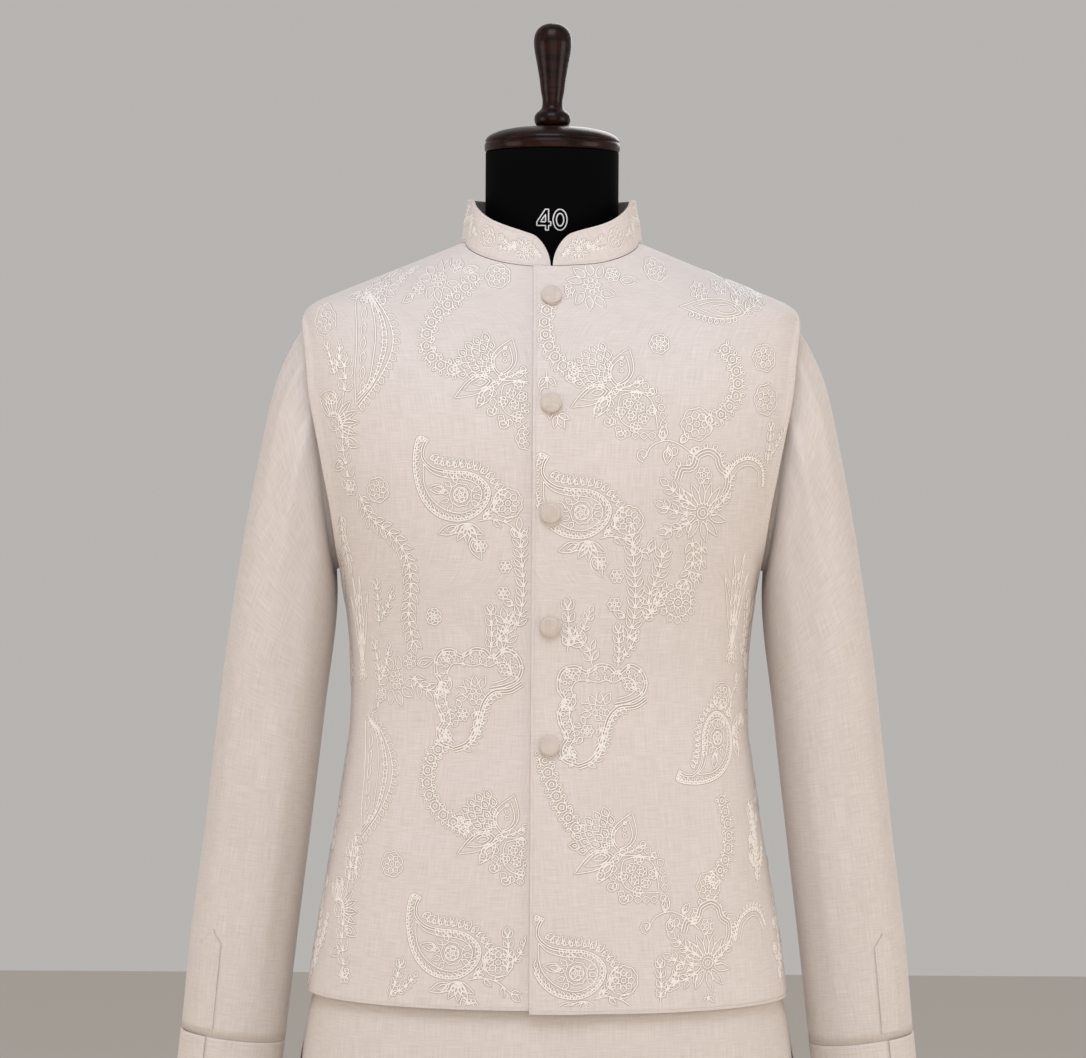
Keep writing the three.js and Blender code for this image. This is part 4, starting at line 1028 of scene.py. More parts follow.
EDGE_STITCH, ARMHOLE_STITCH, JACKET_EDGE = 2.6, 4, 0.9
jacket_pieces = []  # each piece, what is sewn on it, its cut's width and length, and its area in m2
for name, node_name, sign, hem, out_at in (
    ("jacket_front_left_cloth", "jacket_front_left", 1, JACKET_HEM - LEFT_HEM_DROP, upper_front_out),
    ("jacket_front_right_cloth", "jacket_front_right", -1, JACKET_HEM, lower_front_out),
):
    flip = (sign, 1, 1)
    grid = panel(jacket, jacket_heights(hem, 26), front_turns, out_at) * flip
    front = cloth_piece(name, node_name, [grid], jacket_cloth, JACKET_WALL, BODY_AXIS,
                        JACKET_EDGE, lining)
    heights = spread(240, hem + EDGE_STITCH, JACKET_FRONT_NECK - 1)
    turns = jacket.turn_at_width(-FRONT_LAP + EDGE_STITCH, heights)
    lines = [jacket.skin(turns, heights, out_at(turns, heights)),
             panel(jacket, [hem + EDGE_STITCH], front_turns, out_at)[0],
             armhole_line(False, ARMHOLE_STITCH, out_at)]
    sewn = sewing(name + "_stitches", [line * flip for line in lines])
    jacket_pieces.append((front, [sewn], (0.3, 0.67), 0.17))

back_grid = panel(jacket, jacket_heights(JACKET_HEM, 12), back_turns, lower_front_out)
jacket_back = cloth_piece("jacket_back_cloth", "jacket_back", [back_grid], jacket_cloth,
                          JACKET_WALL, BODY_AXIS, JACKET_EDGE, lining)
hem_line = panel(jacket, [JACKET_HEM + EDGE_STITCH], back_turns, lower_front_out)[0]
around_hole = armhole_line(True, ARMHOLE_STITCH, lower_front_out)
sewn = sewing("jacket_back_cloth_stitches", [hem_line, around_hole, around_hole * (-1, 1, 1)])
jacket_pieces.append((jacket_back, [sewn], (0.54, 0.7), 0.31))

# The band collar stands on the neck seam and leans in to the neck. Its front corners are rounded and nearly
# meet, and it is stitched close to its edge.
COLLAR_LEAN, COLLAR_CORNER, COLLAR_GAP, COLLAR_FOOT, COLLAR_WALL = 6, 18, 1, 0.6, 2.2
COLLAR_ROWS = [(0, 22), (18, 27.5), (36, 31), (60, 33.5), (110, 37), (220, 41)]  # length of seam, height
COLLAR_BACK_COLUMNS = 47  # of the back's 92 columns: from the shoulder to the centre
collar_height = curve(COLLAR_ROWS, 1)


class CollarHalf:
    """Places on one half of the band, by the length of its seam from the front and a share of its height."""

    def __init__(self, sign, out_at):
        heights = easing(60, JACKET_FRONT_NECK, SHOULDER_NECK)
        turns = [neckline(z) for z in heights]
        to_back = back_turns(SHOULDER_NECK)[:COLLAR_BACK_COLUMNS]
        turns = np.concatenate([turns, to_back])
        heights = np.concatenate([heights, np.full(len(to_back), SHOULDER_NECK)])
        self.sign = sign
        self.seam = jacket.skin(turns, heights, out_at(turns, heights))
        self.lengths = lengths_along(self.seam)
        self.total = self.lengths[-1]

    def foot(self, length):
        return np.stack([np.interp(length, self.lengths, self.seam[:, k]) for k in range(3)], -1)

    def place(self, length, up, lift=0.0):
        length = np.clip(length, COLLAR_GAP, self.total)
        foot = self.foot(length)
        run = self.foot(np.minimum(length + 2, self.total)) - self.foot(length - 2)
        outward = unit(np.stack([run[..., 1], -run[..., 0], 0 * run[..., 0]], -1))
        outward *= np.sign((outward * foot).sum(-1, keepdims=True))
        height = collar_height(length)
        start = np.clip((length - COLLAR_GAP) / (COLLAR_CORNER - COLLAR_GAP), 0.004, 1)
        corner = np.sqrt(1 - (1 - start) ** 2)
        rise = COLLAR_FOOT + height * corner * up
        place = foot + outward * (lift - COLLAR_LEAN * rise / height)[..., None]
        place[..., 2] += rise
        return place * (self.sign, 1, 1)

    def grid(self):
        lengths = chain(easing(18, COLLAR_GAP, COLLAR_CORNER), spread(90, COLLAR_CORNER, self.total))
        return self.place(lengths[None, :], spread(16, 0, 1)[:, None])


collar_halves = [CollarHalf(1, upper_front_out), CollarHalf(-1, lower_front_out)]
left, right = (half.grid() for half in collar_halves)
collar = cloth_piece("jacket_collar_band", "jacket_collar",
                     [np.concatenate([left, right[:, -2::-1]], 1)], jacket_cloth, COLLAR_WALL, BODY_AXIS,
                     0.8, lining)
lines = []
for half in collar_halves:
    lengths = chain(easing(30, COLLAR_GAP + 1.5, COLLAR_CORNER), spread(120, COLLAR_CORNER, half.total))
    lines += [half.place(lengths, np.full(len(lengths), share)) for share in (0.93, 0.06)]
sewn = sewing("jacket_collar_stitches", lines)
jacket_pieces.append((collar, [sewn], (0.46, 0.04), 0.018))

# Buttons: domed moulds covered in plain cloth a little darker than the jacket, on short thread shanks
BUTTON_HEIGHTS = (1440.8, 1348.4, 1255.7, 1160, 1059.2)
BUTTON_PROFILE = [(0, 0), (4.5, 0), (7.5, 0.5), (8.6, 1.4), (8.8, 2.3), (8.3, 3.3), (6.7, 4), (4, 4.2),
                  (0, 4.3)]
BUTTON_SEAT, SHANK_RADIUS = 0.5, 1.8
button_cloth = cotton("button_cotton", "#c9bcb1", "#bfb1a5", "#d2c7bc", thread_mm=0.7, on_object=True)


def covered_button(name, node_name, place, outward, size=1.0):
    """A button with its back a shank's length off the cloth at a place, facing outward."""
    profile = rounded([(r * size, h * size) for r, h in BUTTON_PROFILE], 0.3)
    made = turned(name, node_name, "button_cloth", profile, 0, button_cloth, 0, 48)
    outward = Vector(outward)
    turn = outward.to_track_quat("Z", "Y").to_matrix().to_4x4()
    seat = Vector(place) * MM + outward * BUTTON_SEAT * MM
    made.data.transform(Matrix.Translation(seat) @ turn)
    shank = threads(name + "_shank", [[place, np.array(place) + np.array(outward) * (BUTTON_SEAT + 0.6)]],
                    SHANK_RADIUS * size, sewing_thread, 3)


def outward_at(figure, turn, z):
    return Vector(figure.skin(turn, z, 1) - figure.skin(turn, z, 0)).normalized()


for i, height in enumerate(BUTTON_HEIGHTS, 1):
    z = height
    for _ in range(4):
        place = jacket.skin(0.0, z, upper_front_out(0.0, z))
        z += height - place[2]
    covered_button(f"jacket_button_{i}_covered", f"jacket_button_{i}", place, outward_at(jacket, 0.0, z))
CUFF_BUTTON_SIZE = 5.5 / 8.8
for side, sign in SIDES:
    around = np.array(CUFF_CLOSING - CUFF_LAP / 2 + 360)
    place = cuff_place(around, 0.5)
    row = (CUFF_TOP + CUFF_FOOT) / 2
    outward = (place - row_centre(row)) * (sign, 1, 0)
    covered_button(f"kurta_cuff_button_{side}_covered", f"kurta_cuff_button_{side}", place * (sign, 1, 1),
                   Vector(outward).normalized(), CUFF_BUTTON_SIZE)


# The embroidery: cream cotton cord couched in close lines over the jacket's outer cloth. Paisleys, sprays,
# scalloped frames, trees and vines are scattered over it, and repeat about 390 mm further down.
CORD_SECTION = [(-1.0, 0.03), (-0.56, 0.1), (0, 0.64), (0.56, 0.1), (1.0, 0.03)]  # across and up
CORD_STEP = 2.2
EMBROIDERY_MARGIN, BUTTON_CLEAR = 3.2, 10.4


def flow(points):
    """A smooth line through points, as places a step apart."""
    p = np.array(points, float)
    slope = np.gradient(p, axis=0)
    t = np.linspace(0, 1, 9)[:-1, None]
    rest = 1 - t
    parts = [a * rest * rest * (1 + 2 * t) + m * t * rest * rest + b * t * t * (3 - 2 * t) - n * t * t * rest
             for a, b, m, n in zip(p, p[1:], slope, slope[1:])]
    fine = np.vstack(parts + [p[-1:]])
    length = lengths_along(fine)
    at = np.linspace(0, length[-1], max(3, round(length[-1] / CORD_STEP) + 1))
    return np.stack([np.interp(at, length, fine[:, k]) for k in (0, 1)], 1)


def polar(at, turn, reach):
    return np.array(at) + reach * np.array([math.cos(math.radians(turn)), math.sin(math.radians(turn))])


def ring(at, radius, lobes=0, wave=0.0):
    around = np.linspace(0, 2 * np.pi, max(8, round(6.3 * radius / CORD_STEP) + 1))
    reach = radius * (1 + wave * np.abs(np.sin(around * lobes / 2)))
    return np.array(at) + np.stack([reach * np.cos(around), reach * np.sin(around)], 1)


def petal(at, turn, length, width, bend=0.0):
    """A leaf-shaped loop from a place, pointing along a direction in degrees, its tip bent aside."""
    count = max(4, round(length / CORD_STEP))
    t = np.concatenate([np.linspace(0, 1, count), np.linspace(1, 0, count)[1:]])
    side = np.where(np.arange(len(t)) < count, 1, -1)
    away = side * width / 2 * np.sin(np.pi * t**0.8) + bend * t * t
    c, s = math.cos(math.radians(turn)), math.sin(math.radians(turn))
    return np.array(at) + np.stack([t * length * c - away * s, t * length * s + away * c], 1)


def rays(at, turns, reach, length, width, bend=0.0):
    """Petals round a place, each starting a distance out along its own direction."""
    return [petal(polar(at, turn, reach), turn, length, width, bend) for turn in turns]


def fringe(places, lean, length, width, bend=0.0):
    """A petal at each of a line's marks, leaning off the line's direction."""
    return [petal(at, turn + lean, length, width, bend) for at, turn in places]


def nested(at, turn, length, width, bend=0.0, sizes=(1, 0.52)):
    """Petals one inside the other, of the same shape, the inner ones starting a little further out."""
    return [petal(polar(at, turn, length * (1 - k) * 0.25), turn, length * k, width * k, bend * k * k)
            for k in sizes]


def curl(at, turn, radius, turns=1.4, hand=1):
    t = np.linspace(0, 1, max(9, round(4.5 * radius * turns / CORD_STEP)))
    around = math.radians(turn) + hand * 2 * np.pi * turns * t
    reach = radius * (1 - 0.82 * t)
    return np.array(at) + np.stack([reach * np.cos(around), reach * np.sin(around)], 1)


def flower(at, radius, petals=6, turn=0):
    """A small open flower: a round eye and its petals."""
    width = 4.7 * radius / petals
    around = [turn + 360 * k / petals for k in range(petals)]
    eye = [ring(at, radius * 0.22)] if radius > 5.8 else []
    return eye + rays(at, around, radius * 0.36, radius * 0.64, width)


def beside(line, distance):
    """A line parallel to another, on its left; the distance may change along it."""
    run = np.gradient(line, axis=0)
    run /= np.linalg.norm(run, axis=1, keepdims=True)
    return line + np.stack([-run[:, 1], run[:, 0]], 1) * np.broadcast_to(distance, len(line))[:, None]


def marks(line, pitch):
    """Places a pitch apart along a line, each with its direction in degrees."""
    length = lengths_along(line)
    run = np.gradient(line, axis=0)
    at = np.arange(pitch / 2, length[-1], pitch)
    rows = [np.interp(at, length, column) for column in (*line.T, *run.T)]
    return [((x, y), math.degrees(math.atan2(dy, dx))) for x, y, dx, dy in zip(*rows)]


def leafed(points, length, width, pitch, lean=48, both=True):
    """A stem with leaves along it, in pairs or by turns, and one at its end."""
    stem = flow(points)
    lines = [stem]
    for k, (at, turn) in enumerate(marks(stem, pitch * 1.15)):
        for hand in (1, -1) if both else ((-1) ** k,):
            foot = polar(at, turn + hand * 90, 0.8)
            lines.append(petal(foot, turn + hand * lean, length, width * 0.9, hand * -1.5))
    end = stem[-1] - stem[-2]
    lines.append(petal(stem[-1], math.degrees(math.atan2(end[1], end[0])), length * 1.1, width * 1.2))
    return lines


BRAID_WIDE, BRAID_PITCH = 10.0, 10.5


def braid(points):
    """A band of round blossoms between two leaves each."""
    line = flow(points)
    lines = []
    for at, turn in marks(line, BRAID_PITCH):
        lines += [ring(at, BRAID_WIDE * 0.2), ring(at, BRAID_WIDE * 0.38, 5, 0.25)]
        lines += [petal(polar(at, turn + a, BRAID_WIDE * 0.46), turn + a + 12, BRAID_WIDE * 0.42,
                        BRAID_WIDE * 0.26) for a in (62, 118, 242, 298)]
    return lines


def spray():
    lines = [ring((0, 0), 3.2), ring((0, 0), 1.4)]
    tiers = ((10, 3, 118, 160), (19, 5, 104, 168), (28, 6, 101, 170), (36, 6, 106, 166))
    for reach, count, first, last in tiers:
        for turn in np.linspace(first, last, count):
            lines.append(petal(polar((0, 0), turn, reach), turn + 6, 9.6, 7.4))
            lines.append(petal(polar((0, 0), turn, reach + 2), turn + 6, 4.6, 2.2))
    lines += nested((1, 4), 76, 36, 22, -3, (1, 0.74))
    lines += [ring((6, 18 + 5.5 * k), 1.5) for k in range(3)]
    lines += nested((-4, 0), 186, 37, 16, 12, (1, 0.68, 0.34))
    lines += nested((-4, -6), 218, 23, 11, 5)
    edge = petal((2, -1), -44, 52, 40, 2)
    lines += [petal((5, -4), -44, 44, 32, 2)]
    lines += fringe(marks(edge, 7.2), 96, 6.5, 6.6)
    for along in range(3):
        for across in range(-2 + along % 2, 3, 2):
            at = polar(polar((0, 0), -44, 16 + 9.5 * along), 46, across * 5.2)
            lines += flower(at, 4.9, 5, 36 * along)
    lines += [curl((-16, -17), 80, 5, 1.5, -1), curl((-6, -27), 60, 5.4, 1.5, -1),
              curl((5, -38), 50, 5.4, 1.5, -1), curl((22, 10), 200, 4.6, 1.3), curl((32, 0), 190, 4.6, 1.3)]
    lines += [flow([(3, 1), (14, 5), (26, 10)]), flow([(3, 0), (16, 0), (34, -2)]),
              flow([(-2, -3), (-12, -10), (-14, -14)])]
    return lines


def paisley():
    edge = flow([(-33, 49), (-42, 52), (-46, 42), (-47, 26), (-44, 8), (-36, -8), (-22, -19), (-4, -22),
                 (10, -17), (20, -6), (22, 6), (14, 16), (2, 21), (-14, 22), (-28, 25), (-37, 33), (-37, 42),
                 (-33, 49)])
    lines = [edge, beside(edge, 2.1)]
    inner = flow([(-38, 28), (-37, 10), (-30, -3), (-18, -12), (-4, -15), (7, -11), (14, -3), (14, 6),
                  (8, 12), (-2, 15), (-16, 16), (-29, 20), (-38, 28)])
    lines += [inner]
    lines += fringe(marks(edge, 5.6)[1:-6], 118, 6.5, 3.8)
    top = flow([(-34, 34), (-26, 27.5), (-12, 25), (2, 24), (14, 20), (24, 10), (30, 2)])
    lines += fringe(marks(top, 6), 62, 9, 5.5, 1)
    lines += fringe(marks(top, 6), 80, 4.5, 2.6)
    lines += [ring((-4, 1), 9, 9, 0.16), ring((-4, 1), 6.6)] + flower((-4, 1), 6, 5)
    lines += rays((-4, 1), (110, 140, 170, 200, 230, 330, 355, 20), 11, 8, 4.5)
    lines += nested((-18, 4), 160, 16, 8, 2, (1, 0.6))
    lines += flower((38, -6), 10.5, 8) + [ring((38, -6), 12, 10, 0.12)]
    lines += leafed([(12, -22), (24, -20), (38, -24), (50, -34)], 9, 4.4, 8, both=False)
    lines += leafed([(16, -18), (25, -12), (28, -2)], 6, 3.4, 6)
    lines += [petal((2, -24), a, 18, 6.5, (a + 90) / 12) for a in (-138, -114, -90, -66, -46)]
    lines += rays((2, -24), (-126, -102, -78, -56), 4, 9, 3)
    lines += nested((-6, -26), -150, 20, 9, -3) + flower((14, -44), 6, 6)
    lines += nested((6, -38), -70, 20, 9, 2)
    return lines


def frame_motif():
    edge = flow([(-14, -45), (-27, -40), (-30, -29), (-25, -19), (-30, -9), (-32, 2), (-27, 13), (-32, 22),
                 (-32, 34), (-27, 42), (-16, 44), (-7, 39), (3, 45), (14, 44), (21, 38), (31, 45), (42, 40),
                 (47, 28), (43, 17), (32, 11), (18, 8)])
    inner = flow([(-14, -38), (-21, -34), (-22, -28), (-17, -20), (-19, -10), (-22, 2), (-16, 12), (-20, 22),
                  (-16, 30), (-7, 31), (3, 29), (10, 31), (18, 29), (26, 33), (34, 31), (37, 24), (32, 18),
                  (20, 14)])
    lines = [edge, beside(edge, -2.4), inner]
    middle = flow([(-14, -41), (-24, -37), (-25, -28), (-21, -19), (-25, -8), (-27, 2), (-21, 12), (-26, 22),
                   (-24, 33), (-15, 37), (-6, 35), (3, 37), (13, 37), (20, 33), (30, 38), (39, 34),
                   (41, 26), (35, 17)])
    for at, turn in marks(middle, 7.8):
        lines.append(ring(at, 1.7))
        lines += [petal(polar(at, turn + 90 * hand, 2.6), turn + 60 * hand, 4.4, 2.2) for hand in (1, -1)]
    for at in ((-22, 37), (-25, 9), (-21, -33), (31, 26)):
        lines += flower(at, 5.6, 6)
    tail = flow([(-14, -45), (-2, -40), (6, -28), (10, -14), (14, -2), (22, 6), (36, 8), (46, 14)])
    lines += [tail, beside(tail, 2.2), beside(tail, -2.2)]
    lines += fringe(marks(tail, 6.4)[1:-3], -58, 8, 4.4)
    lines += flower((6, 2), 8, 6) + rays((6, 2), (66, 96, 126, 156, 186), 8.6, 11, 6)
    lines += flower((-6, -14), 6, 6) + rays((-6, -14), (110, 150, 190, 230), 6.6, 8, 4.6)
    lines += leafed([(4, -8), (8, -20), (4, -32)], 6.5, 3.6, 6.5)
    return lines


def tall_leaf():
    lines = []
    for k, bulge in enumerate((17, 12.5, 9.5, 4)):
        lines.append(flow([(-12 + k * 1.5, 44 - 2 * k), (-2 + bulge * 0.5, 32), (bulge, 12), (bulge - 1, -6),
                           (bulge * 0.5 - 3, -26), (-10, -44 + 3 * k)]))
    lines.append(flow([(-14, 40), (-12, 20), (-11, 0), (-12, -20), (-11, -42)]))
    lines += fringe(marks(lines[0], 6), 60, 6, 4.4)
    lines += fringe(marks(lines[1], 6.2)[:-2], -70, 5, 3)
    lines += [petal((-5, 30 - 11 * k), 262, 10, 4) for k in range(6)]
    return lines


def fan_flower():
    lines = leafed([(0, -46), (2, -30), (-1, -14), (0, 4)], 9, 5, 8)
    lines += rays((-8, 5), range(-20, 130, 21), 6, 17, 5)
    lines += [flow([polar((-8, 5), a, 7), polar((-8, 5), a, 13), polar((-8, 5), a, 19)])
              for a in range(-20, 130, 21)]
    lines += [ring((-8, 5), 4.6, 8, 0.2), ring((-8, 5), 2.2)]
    lines += leafed([(2, 24), (4, 34), (3, 46)], 9, 5.5, 7) + nested((-3, 24), 190, 17, 10, -4)
    lines += nested((2, -6), -30, 14, 7, 2) + nested((-2, -22), 205, 13, 7) + flower((4, -40), 6, 6)
    return lines


def blossom():
    lines = [ring((0, 0), 2.2), ring((0, 0), 11.4, 9, 0.1), ring((0, 0), 4.2)]
    lines += rays((0, 0), range(0, 360, 45), 4.4, 6.4, 4)
    lines += rays((0, 0), range(0, 360, 30), 12, 6.4, 6)
    return lines


def scalloped_flower():
    edge = flow([(-24, 14), (-20, 24), (-11, 25), (-7, 34), (4, 38), (13, 33), (16, 25), (23, 20), (24, 10),
                 (21, 2)])
    lines = [edge, beside(edge, -2.4), beside(edge, -4.8)]
    lines += fringe(marks(edge, 7), 70, 5, 3.6)
    lines += rays((0, -12), range(34, 160, 20), 6.4, 19, 5.2) + [ring((0, -12), 4.6), ring((0, -12), 2.2)]
    lines += flower((0, 17), 7, 6) + rays((0, -12), (-56, -84, -124, -20, 200), 6.4, 17, 6, 2)
    for points in ([(-8, -7), (-18, 0), (-29, 9)], [(-9, -12), (-20, -12), (-32, -7)],
                   [(-8, -17), (-18, -24), (-29, -26)]):
        lines += leafed(points, 8, 4.6, 7)
    lines += leafed([(4, -14), (14, -6), (20, 0)], 6, 3.6, 6)
    lines += leafed([(0, -34), (1, -48), (-2, -64)], 7, 3.6, 9)
    return lines


def sprig_tree():
    lines = leafed([(-6, -54), (0, -34), (2, -10), (0, 16), (-2, 44)], 12, 4.6, 8.4, 44)
    lines += flower((-16, 8), 6.5, 6) + flower((-18, -18), 6.5, 6)
    lines += nested((-8, -30), 150, 12, 7) + nested((14, 30), 70, 14, 7)
    lines += leafed([(9, -34), (21, -20), (28, -4)], 7, 3.8, 7)
    return lines


def sprig():
    lines = leafed([(0, -22), (1, -6), (0, 12)], 8, 4.6, 8, 38)
    return lines + leafed([(4, -14), (12, -4), (17, 8)], 5.5, 3.2, 7)


def cluster():
    lines = flower((0, 0), 9, 8) + flower((-24, -2), 7.5, 6) + flower((22, 8), 7.5, 6)
    lines += rays((0, 0), (48, 84, 120, 152, 215, 250, 286, 322), 10, 14, 8, 3)
    lines += nested((28, 2), -20, 18, 9, 2) + nested((-30, -6), 200, 15, 8)
    return lines


def wing():
    lines = nested((30, 2), 172, 62, 17, 4, (1, 0.72, 0.42))
    lines += [petal(at, turn - 76, 5.5, 4) for at, turn in marks(flow([(24, -6), (0, -9), (-24, -2)]), 6.2)]
    lines += flower((-12, 20), 9, 7) + flower((10, 24), 8, 6) + flower((38, 22), 8.5, 7)
    lines += leafed([(20, 6), (26, 18), (24, 32)], 8, 4.6, 7)
    lines += leafed([(28, 2), (40, 8), (52, 16)], 8, 4.6, 7)
    return lines


def bell_vine():
    stem = flow([(-22, -12), (-14, 0), (0, 4), (14, -2), (26, -12)])
    lines = [stem, curl((-22, -8), 270, 6, 1.3, -1), curl((4, -4), 110, 6.5, 1.2)]
    lines += nested((-6, 4), 80, 14, 7) + nested((10, 2), 50, 11, 6)
    lines += nested((0, -2), 262, 14, 8) + nested((18, -6), 20, 11, 6)
    return lines


def feather():
    rib = flow([(-22, -12), (-12, 4), (4, 9), (18, 3), (24, -12)])
    lines = [rib, beside(rib, 2), beside(rib, -5)]
    return lines + fringe(marks(rib, 4.2), 72, 7.5, 3)


def grass():
    lines = [petal((0, -50), 90 + a, 96 - abs(a) * 2.4, 6, a / 2) for a in (-10, -3, 4, 11)]
    lines += [petal((hand * x, y), 90 + 20 * hand, 12, 5)
              for hand in (1, -1) for x, y in ((5, -30), (6, -12), (5, 8))]
    return lines + flower((0, -50), 7, 6) + [petal((0, -54), a, 12, 5) for a in (220, 250, 290, 320)]


def round_flower():
    return flower((0, 0), 9.5, 7) + [ring((0, 0), 10.5, 7, 0.16)]


# Where each motif is set on either side of the front: distance round from the centre and height, turn, size
LEFT_OF_PICTURE = [(spray, -45, 1366, 0, 0.94), (spray, -41, 981, 0, 0.94), (paisley, -72, 1270, 0, 0.95),
                   (paisley, -78, 882, 0, 0.95), (frame_motif, -68, 1098, 0, 0.97),
                   (tall_leaf, -156, 1394, 0, 1.15), (tall_leaf, -162, 1027, 0, 1.2),
                   (fan_flower, -184, 1325, 0, 1.2), (fan_flower, -192, 905, 0, 1.2),
                   (sprig_tree, -24, 1204, 0, 0.86), (sprig, -50, 1160, 0, 1),
                   (cluster, -138, 1112, 30, 0.95), (cluster, -98, 1452, 20, 0.8),
                   (round_flower, -46, 1456, 0, 0.9), (round_flower, -203, 1418, 0, 1.1),
                   (sprig, -196, 1386, 20, 0.8), (round_flower, -150, 1275, 0, 0.9),
                   (grass, -186, 1168, 0, 0.9), (sprig, -158, 1180, 0, 1), (sprig, -162, 1128, 10, 1),
                   (blossom, -228, 1120, 0, 0.9), (fan_flower, -238, 1000, 0, 0.9),
                   (sprig_tree, -244, 900, 10, 0.8), (tall_leaf, -228, 1208, 0, 0.7),
                   (cluster, -150, 1446, 200, 0.7), (round_flower, -138, 955, 0, 0.9),
                   (sprig, -34, 888, 0, 0.9), (round_flower, -20, 1318, 0, 0.8),
                   (sprig, -132, 860, -20, 0.9), (cluster, -262, 1060, 60, 0.5),
                   (round_flower, -262, 950, 0, 0.9), (sprig, -262, 862, 0, 1),
                   (round_flower, -100, 1168, 0, 0.6)]
LEFT_BANDS = [
    [(-64, 1458), (-80, 1438), (-98, 1422), (-106, 1406), (-105, 1391), (-94, 1379), (-80, 1374)],
    [(-92, 1058), (-103, 1044), (-105, 1022), (-96, 1004), (-78, 991), (-66, 986)],
]
LEFT_VINES = [
    [(-170, 1272), (-160, 1252), (-142, 1240), (-126, 1222), (-121, 1196), (-124, 1168), (-120, 1146)],
    [(-122, 1118), (-110, 1106), (-100, 1104)], [(-196, 1256), (-200, 1236), (-196, 1214)],
    [(-184, 978), (-178, 962), (-180, 946)], [(-42, 1136), (-36, 1150), (-38, 1166)],
]
RIGHT_OF_PICTURE = [(spray, 54, 1358, 0, 0.95), (spray, 59, 966, 0, 0.95), (paisley, 30, 1256, 0, 0.95),
                    (paisley, 28, 867, 0, 0.95), (frame_motif, 38, 1085, 0, 0.97),
                    (cluster, 34, 1447, 10, 0.9), (wing, 140, 1424, 0, 0.95),
                    (round_flower, 124, 1331, 0, 1.15), (scalloped_flower, 131, 1270, 0, 1.08),
                    (scalloped_flower, 140, 886, 0, 1.05), (feather, 174, 1294, -8, 0.95),
                    (feather, 188, 904, 12, 0.95), (round_flower, 187, 1388, 0, 1),
                    (round_flower, 190, 1353, 0, 1.1), (sprig, 198, 1318, 0, 0.9),
                    (sprig_tree, 71, 1196, 0, 0.92), (blossom, 111, 1181, 0, 1), (grass, 176, 1188, 0, 0.95),
                    (sprig, 15, 1164, 0, 1.1), (sprig, 58, 1146, 0, 0.9), (paisley, 157, 1066, 90, 0.88),
                    (sprig_tree, 208, 968, 0, 0.6), (bell_vine, 100, 1313, 0, 1),
                    (bell_vine, 106, 914, 0, 1), (round_flower, 142, 938, 0, 1),
                    (fan_flower, 222, 1110, 0, 0.9), (blossom, 232, 1228, 0, 0.8),
                    (sprig_tree, 246, 890, -8, 0.8), (cluster, 250, 1010, 0, 0.7),
                    (round_flower, 92, 1398, 0, 0.7), (tall_leaf, 250, 1128, 0, 0.7),
                    (round_flower, 92, 1462, 0, 0.9), (sprig, 190, 1450, 0, 0.7), (sprig, 96, 862, 0, 0.9),
                    (round_flower, 226, 1172, 0, 1), (round_flower, 272, 950, 0, 0.9)]
RIGHT_BANDS = [
    [(-3, 1430), (-6, 1412), (-2, 1394), (8, 1379), (20, 1371)],
    [(146, 1398), (158, 1380), (160, 1358), (149, 1342), (134, 1333)],
    [(157, 1014), (165, 990), (164, 966), (154, 950), (146, 942)],
    [(-6, 1062), (-3, 1044), (4, 1022), (14, 1002), (26, 986)],
]
RIGHT_VINES = [[(88, 1168), (84, 1184), (92, 1204), (96, 1222)], [(122, 1236), (124, 1216), (118, 1198)],
               [(36, 1128), (32, 1144), (18, 1152)], [(196, 1130), (204, 1156), (200, 1180)],
               [(200, 1008), (206, 986), (202, 962)], [(-4, 1372), (-2, 1352), (6, 1336)]]


def set_in(lines, place, turn=0.0, size=1.0):
    c, s = math.cos(math.radians(turn)) * size, math.sin(math.radians(turn)) * size
    return [line @ np.array([[c, s], [-s, c]]) + np.array(place) for line in lines]


ROW_STEP, COLUMN_STEP, COLUMNS = 6, 2, 180


